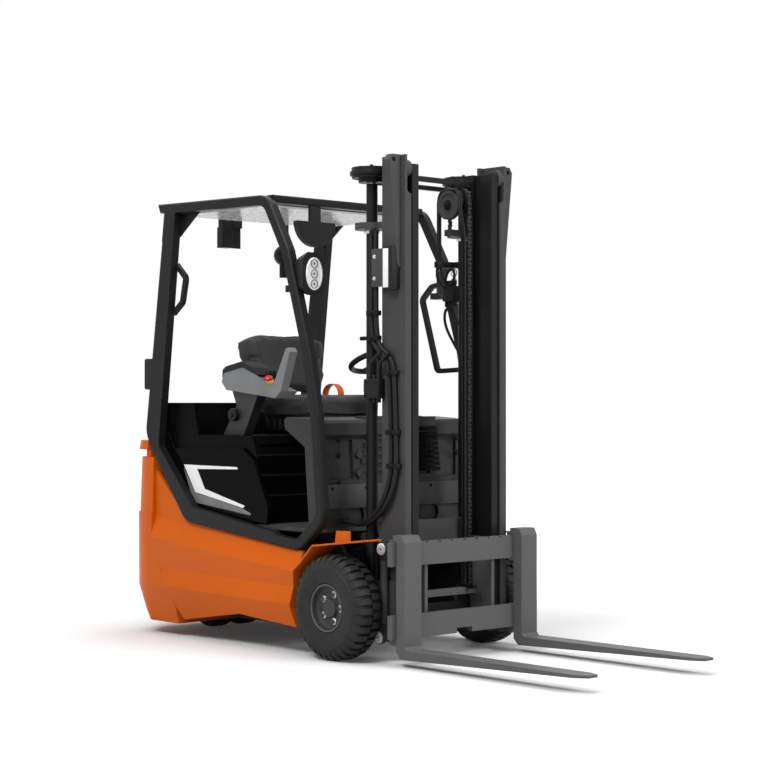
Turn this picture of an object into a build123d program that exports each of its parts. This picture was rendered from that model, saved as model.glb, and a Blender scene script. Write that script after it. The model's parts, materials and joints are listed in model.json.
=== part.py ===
from build123d import *
import os
from math import radians

os.makedirs("parts", exist_ok=True)

# Driving dimensions in millimetres. +X is towards the fork tips, +Z is up.
WHEELBASE = 1352.0
REAR_OVERHANG = 205.0  # steering axis to the back of the counterweight
LOAD_DISTANCE = 375.0  # front axle to the upright face of the forks
FORK_LENGTH = 1000.0
BODY_WIDTH = 1030.0
GUARD_HEIGHT = 2062.0
MAST_HEIGHT = 2175.0
FIT = 0.3  # gap between seated pieces

# Stations along X
AXLE_X = (WHEELBASE + REAR_OVERHANG - LOAD_DISTANCE - FORK_LENGTH) / 2
STEER_X = AXLE_X - WHEELBASE
REAR_X = STEER_X - REAR_OVERHANG
FORK_FACE_X = AXLE_X + LOAD_DISTANCE
HALF_BODY = BODY_WIDTH / 2
SPLIT_X = AXLE_X - 1297  # side panels meet the counterweight

# Front wheels
FRONT_R = 228.5
FRONT_TYRE_WIDTH = 154.0
FRONT_RIM_R = 103.0
FRONT_TRACK = 900.0
HUB_FACE = 37.0  # wheel disc, outwards from the wheel's middle plane
DISC_THICK = 18.0
RIM_WALL = 10.0
LUG_DEPTH = 14.0
LUG_COUNT = 24

# Twin rear wheels
REAR_R = 190.5
REAR_TYRE_WIDTH = 115.0
REAR_RIM_R = 102.0
REAR_TRACK = 170.0
REAR_SHAFT_R = 24.0
CAVITY_R = 258.0
CAVITY_TOP = 452.0

# Counterweight
CORNER_R = 225.0
TOW_Z = 565.0
TOW_DEPTH = 80.0
TOW_PIN_R = 16.0

# Chassis
PLATE_THICK = 22.0
PLATE_INNER = 340.0  # inner faces of the frame's side plates
FLOOR_Z = 560.0
FLOOR_THICK = 18.0
CHASSIS_BOTTOM = 110.0
SKIRT_WALL = 20.0
FENDER_THICK = 8.0
PIVOT_R = 30.0  # mast pin
STUB_R = 62.0  # drive unit that carries the wheel

# Overhead guard
GUARD_OUTER = 500.0
GUARD_DEPTH = 40.0  # across the truck
GUARD_TUBE = 46.0  # in the plane of the loop
GUARD_INNER = GUARD_OUTER - GUARD_DEPTH
GUARD_BEND = 85.0
GUARD_EDGE = 7.0  # chamfer round the outer faces
RAIL_FALL = 16.0  # roof rails drop towards the front
SILL_BEND = 40.0
ROOF_GLASS = 8.0
GUSSET_THICK = 10.0

# Cowl, hood and covers
COWL_FRONT = AXLE_X - 120.0
COWL_TOP = 1036.0
COWL_LIP = 22.0
COWL_RECESS = 14.0
LEDGE_Z = COWL_TOP - 268.0  # ledge under the louvred box
LEDGE_DEPTH = 16.0
LEDGE_THICK = 26.0
LOUVRE_HALF = 190.0
LOUVRE_DEPTH = 10.0
LOUVRE_PITCH = 36.0
LOUVRE_COUNT = 5
LOUVRE_Z = COWL_TOP - 168.0
CONNECTOR_R = 18.0
HOOD_FRONT = AXLE_X - 545.0
HOOD_SEAT_Z = 960.0
HOOD_BACK_Z = 1112.0
HOOD_BACK_X = AXLE_X - 1010.0
HOOD_REAR = AXLE_X - 1345.0
HOOD_STEP = 12.0  # stepped lines of the hood's front
HOOD_HALF = 440.0
COVER_THICK = 16.0
ACCENT_THICK = 3.0
ACCENT_Z = HOOD_SEAT_Z - 141.0

# Seat
SEAT_X = AXLE_X - 645.0
SEAT_LENGTH = 440.0
SEAT_HALF = 235.0
SEAT_BASE_HEIGHT = 95.0
CUSHION_THICK = 95.0
SEAT_TOP = 1466.0
SEAT_LEAN = 11.0  # degrees
BACK_THICK = 95.0
ARM_Y = -340.0
ARM_WIDTH = 100.0
BELT_WIDTH = 40.0
BELT_R = 52.0
BELT_THICK = 4.0

# Steering wheel and column
STEERING_Y = 100.0
WHEEL_CENTRE = (AXLE_X - 310.0, STEERING_Y, COWL_TOP + 276.0)
COLUMN_FOOT = (AXLE_X - 200.0, STEERING_Y, COWL_TOP - 20.0)
STEERING_R = 152.0
STEERING_RIM_R = 13.0
COLUMN_R = 34.0

# Lamps, mirror and handles
LAMP_Y = 440.0
LAMP_Z = 1680.0
LAMP_WIDTH = 110.0
LAMP_HEIGHT = 190.0
LAMP_DEPTH = 80.0
LAMP_CORNER = 28.0
LENS_THICK = 10.0
HANDLE_WIDTH = 22.0
MIRROR_Y = -215.0
MIRROR_Z = 1940.0
MIRROR_R = 115.0
BEACON_R = 52.0

# Mast
MAST_FRONT = AXLE_X + 277.0
MAST_REAR = AXLE_X + 132.0
MAST_HALF = 311.0
MAST_BOTTOM = 85.0
CHANNEL_WEB = 13.0
CHANNEL_FLANGE = 16.0
OUTER_FLANGE_WIDTH = 37.0
INNER_OUTER_Y = 262.0
INNER_FLANGE_WIDTH = 37.0
INNER_DROP = 36.0  # inner channels end below the outer ones
INNER_TOP = MAST_HEIGHT - INNER_DROP
INNER_BOTTOM = 112.0
TIE_DEPTH = 28.0
PIVOT_Z = FRONT_R
ARM_THICK = 16.0
ARM_EYE_R = 58.0
FIN_DROP = 485.0  # lifting fins behind the front flanges
FIN_REACH = 67.0
FIN_THICK = 36.0
FIN_HOLE_R = 10.0
NOTCH_DROP = 165.0  # cut in the front flanges about the guide rollers
NOTCH_CORNER = 12.0
GUIDE_R = 38.0
BRACKET_THICK = 29.0
BRACKET_R = 75.0
CAP_BRACKET = 20.0
CAP_R = 25.0
CAP_X = AXLE_X + 150.0
CAP_THICK = 5.0
CAP_POST_R = 17.0
INNER_SET = 6.0  # inner channels stand back from the outer ones
HEAD_STEPS = ((60.0, 18.0), (88.0, 13.0), (97.0, 17.0), (90.0, 17.0))  # radius and height of each plate
HEAD_Z = INNER_TOP - sum(height for _, height in HEAD_STEPS)
HEAD_CLEARANCE = 7.0
TOP_TIE_HEIGHT = 23.0
TOP_TIE_Z = INNER_TOP - 53.0
CROSSHEAD = (26.0, 19.0)  # bar between the two heads, along X and Z
TIE_THICK = 16.0
OUTER_TIES = ((120.0, 80.0), (495.0, 100.0))
INNER_TIES = ((118.0, 110.0), (TOP_TIE_Z, TOP_TIE_HEIGHT))

# Lift cylinders
LIFT_X = AXLE_X + 36.0
LIFT_Y = 283.0
BARREL_R = 25.0
BARREL_BORE = 19.0
GLAND_THICK = 14.0
COLLAR_HEIGHT = 16.0
ROD_R = 17.0
BARREL_TOP = HEAD_Z - 6.0
BRACKET_Z = HEAD_Z - 207.0  # plate that holds the barrels

# Chains and sheaves
SHEAVE_R = 55.0
SHEAVE_WIDTH = 30.0
SHEAVE_X = AXLE_X + 118.0
SHEAVE_Y = 176.0
SHEAVE_Z = INNER_TOP - 119.0
SHEAVE_GROOVE = 7.0
SHEAVE_AXLE_R = 12.0
HOSE_PULLEY_R = 57.0
HOSE_PULLEY_Y = 136.0
CHEEK_THICK = 9.0
CHEEK_HALF = 24.0
CHAIN_WIDTH = 22.0
CHAIN_THICK = 12.0
CHAIN_ANCHOR_Z = 290.0
FRONT_RUN_X = SHEAVE_X + SHEAVE_R + CHAIN_THICK / 2 + FIT
REAR_RUN_X = SHEAVE_X - SHEAVE_R - CHAIN_THICK / 2 - FIT

# Carriage and forks
BAR_FRONT = AXLE_X + 325.0
BAR_THICK = 28.0
BAR_HEIGHT = 101.0
UPPER_BAR_Z = 420.0
LOWER_BAR_Z = 113.0
BAR_HALF = 432.0
CARRIAGE_Y = 196.0
CARRIAGE_PLATE = 18.0
PLATE_INSET = 22.0
BAR_NOTCH = (14.0, 8.0)  # width and depth of the fork stops
BAR_NOTCH_PITCH = 75.0
BAR_RELIEF = (94.0, 22.0)
FORK_WIDTH = 100.0
FORK_THICK = 40.0
FORK_TIP = 11.0
FORK_Y = 358.0
FORK_TOP_Z = 72.0
HOOK_TOP = 552.0
HOOK_STEP = 20.0
HEEL_CUT = 28.0
TIP_CUT_LENGTH = 55.0
TIP_CUT_WIDTH = 24.0
ROLLER_R = 54.0
ROLLER_WIDTH = 20.0

# Tilt cylinders
TILT_Y = 205.0
TILT_REAR = (AXLE_X - 345.0, 430.0)
TILT_FRONT = (AXLE_X + 60.0, 545.0)
TILT_BARREL_R = 34.0
TILT_ROD_R = 17.0
TILT_PIN_R = 15.0
TILT_EYE_CLEARANCE = 2.0
TILT_BARREL_SHARE = 0.62
TILT_EYE_WIDTH = 40.0
CLEVIS_THICK = 12.0
CLEVIS_R = 26.0


def side_plane(y):
    """A plane across the truck at y; its local axes are X and Z, its normal points to -Y."""
    return Plane.XZ.offset(-y)


def wheel_plane(x, y, z):
    """A plane with its normal along +Y, centred on a wheel."""
    return Plane(origin=(x, y, z), x_dir=(1, 0, 0), z_dir=(0, 1, 0))


def section_plane(x, y, z):
    """A plane through a wheel's axis; local x runs along +Y, local y along +Z."""
    return Plane(origin=(x, y, z), x_dir=(0, 1, 0), z_dir=(1, 0, 0))


def make_tyre(x, y, radius, rim_r, width, lugs):
    """Carcass turned about the axle with two rows of shoulder lugs."""
    half = width / 2
    carcass_r = radius - LUG_DEPTH
    middle_r = (rim_r + radius) / 2
    with BuildPart() as tyre:
        with BuildSketch(section_plane(x, y, radius)):
            with BuildLine():
                Polyline(
                    (-half * 0.82, rim_r + FIT),
                    (half * 0.82, rim_r + FIT),
                    (half, middle_r),
                    (half * 0.9, carcass_r),
                    (-half * 0.9, carcass_r),
                    (-half, middle_r),
                    close=True,
                )
            make_face()
        revolve(axis=Axis((x, y, radius), (0, 1, 0)))
        lug_width = half * 0.86
        pitch = 360 / lugs
        lug_length = radius * radians(pitch) * 0.62
        for side, turn in ((1, 0), (-1, pitch / 2)):
            row = wheel_plane(x, y + side * (half - lug_width / 2 - 2), radius)
            with BuildSketch(row.offset(-lug_width / 2)):
                with PolarLocations(carcass_r + LUG_DEPTH / 2, lugs, start_angle=turn):
                    Rectangle(2 * LUG_DEPTH, lug_length)
            extrude(amount=lug_width)
        with BuildSketch(wheel_plane(x, y - half, radius)):
            Circle(radius)
        extrude(amount=width, mode=Mode.INTERSECT)
    return tyre.part


def make_front_rim(y, side):
    """Rim barrel with a dished disc, hub boss and five nut seats."""
    half = FRONT_TYRE_WIDTH / 2 * 0.84
    bore = FRONT_RIM_R - RIM_WALL
    face = HUB_FACE
    back = HUB_FACE - DISC_THICK
    with BuildPart() as rim:
        with BuildSketch(section_plane(AXLE_X, y, FRONT_R)):
            with BuildLine():
                Polyline(
                    (-side * half, bore),
                    (-side * half, FRONT_RIM_R),
                    (side * half, FRONT_RIM_R),
                    (side * half, bore),
                    (side * (face + 9), bore - 5),
                    (side * face, bore - 20),
                    (side * face, 46),
                    (side * (face + 14), 40),
                    (side * (face + 14), 0),
                    (side * back, 0),
                    (side * back, bore - 14),
                    (side * (back - 8), bore),
                    close=True,
                )
            make_face()
        revolve(axis=Axis((AXLE_X, y, FRONT_R), (0, 1, 0)))
        nut_plane = Plane(origin=(AXLE_X, y + side * face, FRONT_R), x_dir=(1, 0, 0), z_dir=(0, side, 0))
        with BuildSketch(nut_plane):
            with PolarLocations(60, 5):
                RegularPolygon(11, 6)
        extrude(amount=12)
    return rim.part


def make_loop(y_outer):
    """One side of the overhead guard: a band round the door opening, with an overhanging roof rail."""
    rail_rear = AXLE_X - 1181
    rail_front = AXLE_X - 440
    rail_z = GUARD_HEIGHT - GUARD_TUBE / 2

    def rail_edge(x):
        return GUARD_HEIGHT - RAIL_FALL * (x - rail_rear) / (rail_front - rail_rear)

    centre_line = (
        (rail_rear, rail_z),
        (rail_front, rail_z - RAIL_FALL),
        (AXLE_X - 299, GUARD_HEIGHT - 278),
        (AXLE_X - 166, GUARD_HEIGHT - 702),
        (AXLE_X - 104, COWL_TOP + 30),
        (AXLE_X - 62, FLOOR_Z + 45),
        (AXLE_X - 215, FLOOR_Z - 75),
        (AXLE_X - 1030, FLOOR_Z + 15),
        (AXLE_X - 1336, HOOD_SEAT_Z + 5),
    )
    rail_end = (
        (AXLE_X - 1262, rail_edge(AXLE_X - 1262)),
        (AXLE_X - 1244, GUARD_HEIGHT - GUARD_TUBE + 5),
        (AXLE_X - 1212, GUARD_HEIGHT - GUARD_TUBE),
        (AXLE_X - 1231, GUARD_HEIGHT - 182),
        (AXLE_X - 1150, GUARD_HEIGHT - 182),
        (AXLE_X - 1060, GUARD_HEIGHT - GUARD_TUBE / 2),
        (AXLE_X - 1060, rail_edge(AXLE_X - 1060)),
    )
    door_opening = (
        (AXLE_X - 1112, GUARD_HEIGHT),
        (AXLE_X - 1250, HOOD_SEAT_Z - 55),
        (AXLE_X - 980, FLOOR_Z + 62),
        (AXLE_X - 385, FLOOR_Z - 23),
        (AXLE_X - 320, FLOOR_Z - 66),
        (AXLE_X - 40, FLOOR_Z - 90),
        (AXLE_X + 40, GUARD_HEIGHT),
    )
    with BuildPart() as loop:
        with BuildSketch(side_plane(y_outer)):
            with BuildLine():
                FilletPolyline(*centre_line, radius=GUARD_BEND, close=True)
            make_face()
            offset(amount=GUARD_TUBE / 2)
            with BuildLine():
                Polyline(*rail_end, close=True)
            make_face()
        extrude(amount=-GUARD_DEPTH)
        with BuildSketch(side_plane(y_outer)):
            with BuildLine():
                FilletPolyline(*centre_line, radius=GUARD_BEND, close=True)
            make_face()
            offset(amount=-GUARD_TUBE / 2)
            with BuildLine():
                FilletPolyline(*door_opening, radius=SILL_BEND, close=True)
            make_face(mode=Mode.INTERSECT)
        extrude(amount=-GUARD_DEPTH, mode=Mode.SUBTRACT)
        chamfer(loop.faces().sort_by(Axis.Y)[0].outer_wire().edges(), GUARD_EDGE)
    return loop.part


# Front wheels
with BuildPart() as front_tyre_right:
    add(make_tyre(AXLE_X, -FRONT_TRACK / 2, FRONT_R, FRONT_RIM_R, FRONT_TYRE_WIDTH, LUG_COUNT))

with BuildPart() as front_tyre_left:
    mirror(front_tyre_right.part, about=Plane.XZ)

with BuildPart() as front_rim_right:
    add(make_front_rim(-FRONT_TRACK / 2, -1))

with BuildPart() as front_rim_left:
    mirror(front_rim_right.part, about=Plane.XZ)

# Twin rear wheels on one shaft
with BuildPart() as rear_tyres:
    for row in (-1, 1):
        add(make_tyre(STEER_X, row * REAR_TRACK / 2, REAR_R, REAR_RIM_R, REAR_TYRE_WIDTH, LUG_COUNT))

rear_disc = REAR_TYRE_WIDTH * 0.4
with BuildPart() as rear_hub:
    with BuildSketch(wheel_plane(STEER_X, -REAR_TRACK / 2 - rear_disc, REAR_R)):
        Circle(REAR_SHAFT_R)
    extrude(amount=REAR_TRACK + 2 * rear_disc)
    for row in (-1, 1):
        with BuildSketch(wheel_plane(STEER_X, row * REAR_TRACK / 2 - rear_disc, REAR_R)):
            Circle(REAR_RIM_R)
        extrude(amount=2 * rear_disc)
        outer = row * (REAR_TRACK / 2 + rear_disc)
        dish = Plane(origin=(STEER_X, outer, REAR_R), x_dir=(1, 0, 0), z_dir=(0, row, 0))
        with BuildSketch(dish):
            Circle(REAR_RIM_R - RIM_WALL)
            Circle(REAR_SHAFT_R + 20, mode=Mode.SUBTRACT)
        extrude(amount=-rear_disc * 0.8, mode=Mode.SUBTRACT)

# Steering yoke: turntable, leg between the wheels and bearing boss
yoke_half = REAR_TRACK / 2 - REAR_TYRE_WIDTH / 2 - 7
with BuildPart() as steer_yoke:
    with BuildSketch(Plane.XY.offset(2 * REAR_R + 18)):
        with Locations((STEER_X, 0)):
            Circle(150)
    extrude(amount=CAVITY_TOP - 2 * REAR_R - 18 - FIT)
    with BuildSketch(side_plane(yoke_half)):
        with BuildLine():
            Polyline(
                (STEER_X - 95, 2 * REAR_R + 18),
                (STEER_X + 95, 2 * REAR_R + 18),
                (STEER_X + 48, REAR_R),
                (STEER_X - 48, REAR_R),
                close=True,
            )
        make_face()
    extrude(amount=2 * yoke_half)
    with BuildSketch(side_plane(yoke_half)):
        with Locations((STEER_X, REAR_R)):
            Circle(48)
    extrude(amount=2 * yoke_half)
    with BuildSketch(side_plane(yoke_half)):
        with Locations((STEER_X, REAR_R)):
            Circle(REAR_SHAFT_R + FIT)
    extrude(amount=2 * yoke_half, mode=Mode.SUBTRACT)

# Chassis: side plates, floor beams and the front bulkhead
chassis_front = TILT_REAR[0] - 45
chassis_rear = STEER_X + CAVITY_R + 20
plate_top = FLOOR_Z - FLOOR_THICK
with BuildPart() as chassis:
    for side in (-1, 1):
        with BuildSketch(side_plane(side * PLATE_INNER)):
            with BuildLine():
                Polyline(
                    (chassis_rear, CHASSIS_BOTTOM),
                    (chassis_front, CHASSIS_BOTTOM),
                    (AXLE_X - 70, PIVOT_Z - 75),
                    (AXLE_X + 40, PIVOT_Z - 75),
                    (AXLE_X + 75, PIVOT_Z - 30),
                    (AXLE_X + 75, PIVOT_Z + 40),
                    (AXLE_X + 20, PIVOT_Z + 95),
                    (COWL_FRONT, plate_top),
                    (chassis_rear, plate_top),
                    close=True,
                )
            make_face()
        extrude(amount=-side * PLATE_THICK)
        with BuildSketch(wheel_plane(AXLE_X, side * (PLATE_INNER + PLATE_THICK), PIVOT_Z)):
            Circle(PIVOT_R)
        extrude(amount=-side * (PLATE_THICK + PLATE_INNER - MAST_HALF - FIT))
    with BuildSketch(Plane.YZ.offset(chassis_front)):
        with Locations((0, (CHASSIS_BOTTOM + plate_top) / 2)):
            Rectangle(2 * PLATE_INNER, plate_top - CHASSIS_BOTTOM)
    extrude(amount=-PLATE_THICK)
    with BuildSketch(Plane.YZ.offset(chassis_rear)):
        with Locations((0, (CHASSIS_BOTTOM + plate_top) / 2)):
            Rectangle(2 * PLATE_INNER, plate_top - CHASSIS_BOTTOM)
    extrude(amount=PLATE_THICK)
    with BuildSketch(Plane.XY.offset(CHASSIS_BOTTOM)):
        with Locations(((chassis_front + chassis_rear) / 2, 0)):
            Rectangle(chassis_front - chassis_rear, 2 * PLATE_INNER)
    extrude(amount=PLATE_THICK)
    with BuildSketch(Plane.XY.offset(CAVITY_TOP)):
        with Locations(((SPLIT_X + FIT + chassis_rear) / 2, 0)):
            Rectangle(chassis_rear - SPLIT_X - FIT, 2 * (PLATE_INNER + PLATE_THICK))
    extrude(amount=plate_top - CAVITY_TOP)
    for side in (-1, 1):
        for wall in (-1, 1):
            with BuildSketch(side_plane(side * TILT_Y + wall * (TILT_EYE_WIDTH / 2 + 2))):
                with BuildLine():
                    Polyline(
                        (chassis_front, TILT_REAR[1] - 45),
                        (chassis_front, TILT_REAR[1] + 45),
                        (TILT_REAR[0], TILT_REAR[1] + CLEVIS_R),
                        (TILT_REAR[0], TILT_REAR[1] - CLEVIS_R),
                        close=True,
                    )
                make_face()
                with Locations(TILT_REAR):
                    Circle(CLEVIS_R)
            extrude(amount=-wall * CLEVIS_THICK)
        with BuildSketch(side_plane(side * TILT_Y + TILT_EYE_WIDTH / 2 + 2 + CLEVIS_THICK)):
            with Locations(TILT_REAR):
                Circle(TILT_PIN_R)
        extrude(amount=TILT_EYE_WIDTH + 4 + 2 * CLEVIS_THICK)

# Drive units: turned housings that carry the front wheels
drive_inner = PLATE_INNER + PLATE_THICK
drive_face = FRONT_TRACK / 2 + HUB_FACE - DISC_THICK - FIT
with BuildPart() as drive_units:
    for side in (-1, 1):
        with BuildSketch(section_plane(AXLE_X, 0, PIVOT_Z)):
            with BuildLine():
                Polyline(
                    (side * drive_inner, 0),
                    (side * drive_inner, STUB_R + 20),
                    (side * (drive_inner + 14), STUB_R + 20),
                    (side * (drive_inner + 22), STUB_R),
                    (side * (drive_face - 12), STUB_R),
                    (side * (drive_face - 12), STUB_R + 14),
                    (side * drive_face, STUB_R + 14),
                    (side * drive_face, 0),
                    close=True,
                )
            make_face()
        revolve(axis=Axis((AXLE_X, 0, PIVOT_Z), (0, 1, 0)))

# Overhead guard loops
with BuildPart() as guard_right:
    add(make_loop(-GUARD_OUTER))

with BuildPart() as guard_left:
    mirror(guard_right.part, about=Plane.XZ)

# Side panels: creased skins from the counterweight split to the fender tip
split_low = SPLIT_X + 171
fender_tip = AXLE_X + 225
fender_z = FLOOR_Z - 32  # top of the fender at its tip
fender_inner = -PLATE_INNER - PLATE_THICK - FIT
fender_outer = -HALF_BODY + 14
arch_line = ((AXLE_X - 250, 122), (AXLE_X - 259, 205), (AXLE_X - 228, 379), (AXLE_X - 112, fender_z - 38))


def skirt_section(crease_top, crease_mid, crease_low, bottom, inner_y=None):
    """Faceted outline across the truck at one station: a thin skin, or a block as deep as inner_y."""
    outer = -HALF_BODY
    points = (
        (outer + 36, 860),
        (outer + 36, crease_top + 100),
        (outer, crease_top),
        (outer + 14, crease_mid),
        (outer + 3, crease_low),
        (outer + 58, bottom),
    )
    inner = [(y + SKIRT_WALL if inner_y is None else inner_y, z) for y, z in reversed(points)]
    return list(points) + inner


def skirt_loft(inner_y=None):
    """The skirt's facets run from the counterweight to the front wheel."""
    with BuildPart() as skirt:
        with BuildSketch(Plane.YZ.offset(SPLIT_X - 30)):
            with BuildLine():
                Polyline(*skirt_section(468, 320, 240, 60, inner_y), close=True)
            make_face()
        with BuildSketch(Plane.YZ.offset(fender_tip)):
            with BuildLine():
                Polyline(*skirt_section(332, 300, 218, 60, inner_y), close=True)
            make_face()
        loft(ruled=True)
    return skirt.part


with BuildPart() as arch_liner:
    with BuildSketch(side_plane(-HALF_BODY)):
        with BuildLine():
            Polyline(*arch_line[:-1], (AXLE_X - 190, 415))
        trace(line_width=FENDER_THICK)
    extrude(amount=-(fender_inner + HALF_BODY))
    add(skirt_loft(fender_inner), mode=Mode.INTERSECT)

with BuildPart() as side_panel_right:
    add(skirt_loft())
    with BuildSketch(side_plane(-HALF_BODY - 20)):
        with BuildLine():
            Polyline(
                (SPLIT_X + FIT, 789),
                (SPLIT_X + FIT, 447),
                (split_low + FIT, 135),
                (AXLE_X - 1088, 84),
                (AXLE_X - 640, 150),
                *arch_line[:-1],
                (AXLE_X - 190, 415),
                (AXLE_X - 205, FLOOR_Z - 98),
                (AXLE_X - 1030, FLOOR_Z - 8 - FIT),
                close=True,
            )
        make_face()
    extrude(amount=-120, mode=Mode.INTERSECT)
    add(arch_liner.part)
    with BuildSketch(side_plane(fender_outer)):
        with BuildLine():
            Polyline(*arch_line[2:], (fender_tip, fender_z))
        trace(line_width=FENDER_THICK)
    extrude(amount=fender_outer - fender_inner)
    with BuildSketch(Plane.XY.offset(fender_z - 60)):
        with BuildLine():
            Polyline(
                (fender_tip - 40, fender_inner),
                (fender_tip + 10, fender_inner - 50),
                (fender_tip + 10, fender_inner),
                close=True,
            )
        make_face()
    extrude(amount=120, mode=Mode.SUBTRACT)
    with BuildSketch(side_plane(fender_outer + 26)):
        with BuildLine():
            Polyline(
                (AXLE_X + 8, fender_z - 30),
                (AXLE_X + 104, fender_z - 18),
                (AXLE_X + 104, fender_z + 34),
                (AXLE_X + 18, fender_z + 32),
                close=True,
            )
        make_face()
    extrude(amount=-FENDER_THICK)
    add(guard_right.part, mode=Mode.SUBTRACT)

with BuildPart() as side_panel_left:
    mirror(side_panel_right.part, about=Plane.XZ)

# Counterweight: rounded plan sections lofted up its height
cw_front = split_low
lower_levels = ((62.0, 150.0), (115.0, 96.0), (231.0, 4.0), (583.0, 0.0))
upper_levels = ((583.0, 20.0), (850.0, 44.0))
neck_levels = ((850.0, 120.0), (886.0, 120.0))
cap_levels = ((886.0, 40.0), (930.0, 56.0))


def weight_layer(levels, front):
    """Rounded plan sections, each with its inset from the widest outline, lofted up the height."""
    with BuildPart() as layer:
        for level, inset in levels:
            half = HALF_BODY - 10 - inset / 4
            with BuildSketch(Plane.XY.offset(level)):
                with BuildLine():
                    FilletPolyline(
                        (front, -half),
                        (REAR_X + inset, -half),
                        (REAR_X + inset, half),
                        (front, half),
                        radius=min(CORNER_R - inset, 0.9 * (front - REAR_X - inset)),
                    )
                    Line((front, half), (front, -half))
                make_face()
        loft(ruled=True)
    return layer.part


with BuildPart() as counterweight:
    add(weight_layer(lower_levels, cw_front))
    add(weight_layer(upper_levels, cw_front))
    with BuildSketch(section_plane(STEER_X, 0, 0)):
        with BuildLine():
            Polyline(
                (0, 0),
                (CAVITY_R, 0),
                (CAVITY_R, REAR_R + 10),
                (CAVITY_R - 26, 300),
                (CAVITY_R - 72, 400),
                (CAVITY_R - 92, CAVITY_TOP),
                (0, CAVITY_TOP),
                close=True,
            )
        make_face()
    revolve(axis=Axis((STEER_X, 0, 0), (0, 0, 1)), mode=Mode.SUBTRACT)
    with BuildSketch(side_plane(HALF_BODY)):
        with BuildLine():
            Polyline(
                (split_low, 135),
                (SPLIT_X, 447),
                (SPLIT_X, 900),
                (split_low + 50, 900),
                (split_low + 50, 135),
                close=True,
            )
        make_face()
    extrude(amount=BODY_WIDTH, mode=Mode.SUBTRACT)
    add(weight_layer(neck_levels, HOOD_REAR - FIT))
    add(weight_layer(cap_levels, HOOD_REAR - FIT))
    with BuildSketch(Plane.YZ.offset(REAR_X)):
        with Locations((0, TOW_Z)):
            RectangleRounded(130, 110, 20)
    extrude(amount=TOW_DEPTH, mode=Mode.SUBTRACT)
    with BuildSketch(Plane.XY.offset(TOW_Z - 95)):
        with Locations((REAR_X + TOW_DEPTH / 2, 0)):
            Circle(TOW_PIN_R)
    extrude(amount=190, mode=Mode.SUBTRACT)
    for side in (-1, 1):
        with BuildSketch(Plane.YZ.offset(REAR_X)):
            with Locations((side * (HALF_BODY - CORNER_R), 720)):
                RectangleRounded(150, 70, 16)
        extrude(amount=45, mode=Mode.SUBTRACT)

# Roof bars and panel
roof_z = GUARD_HEIGHT - GUARD_TUBE - 4
roof_bars = ((AXLE_X - 1195, 40), (AXLE_X - 960, 40), (AXLE_X - 700, 40), (AXLE_X - 452, 62))
with BuildPart() as guard_roof:
    for bar_x, bar_width in roof_bars:
        with BuildSketch(side_plane(GUARD_INNER)):
            with Locations((bar_x, roof_z + 18)):
                RectangleRounded(bar_width, 36, 10)
        extrude(amount=2 * GUARD_INNER)
    for side in (-1, 1):
        with BuildSketch(side_plane(side * GUARD_INNER)):
            with BuildLine():
                Polyline(
                    (AXLE_X - 1150, roof_z),
                    (AXLE_X - 985, roof_z),
                    (AXLE_X - 1105, roof_z - 85),
                    (AXLE_X - 1138, roof_z - 110),
                    close=True,
                )
            make_face()
        extrude(amount=side * GUSSET_THICK)

with BuildPart() as roof_panel:
    with BuildSketch(Plane.XY.offset(roof_z - ROOF_GLASS - FIT)):
        with Locations(((AXLE_X - 828), 0)):
            Rectangle(640, 2 * GUARD_INNER - 2 * GUSSET_THICK - 4)
    extrude(amount=ROOF_GLASS)

# Floor
with BuildPart() as floor_plate:
    with BuildSketch(Plane.XY.offset(FLOOR_Z)):
        with BuildLine():
            Polyline(
                (COWL_FRONT, -GUARD_INNER + FIT),
                (COWL_FRONT, GUARD_INNER - FIT),
                (HOOD_FRONT + FIT, GUARD_INNER - FIT),
                (HOOD_FRONT + FIT, -GUARD_INNER + FIT),
                close=True,
            )
        make_face()
    extrude(amount=-FLOOR_THICK)

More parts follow.
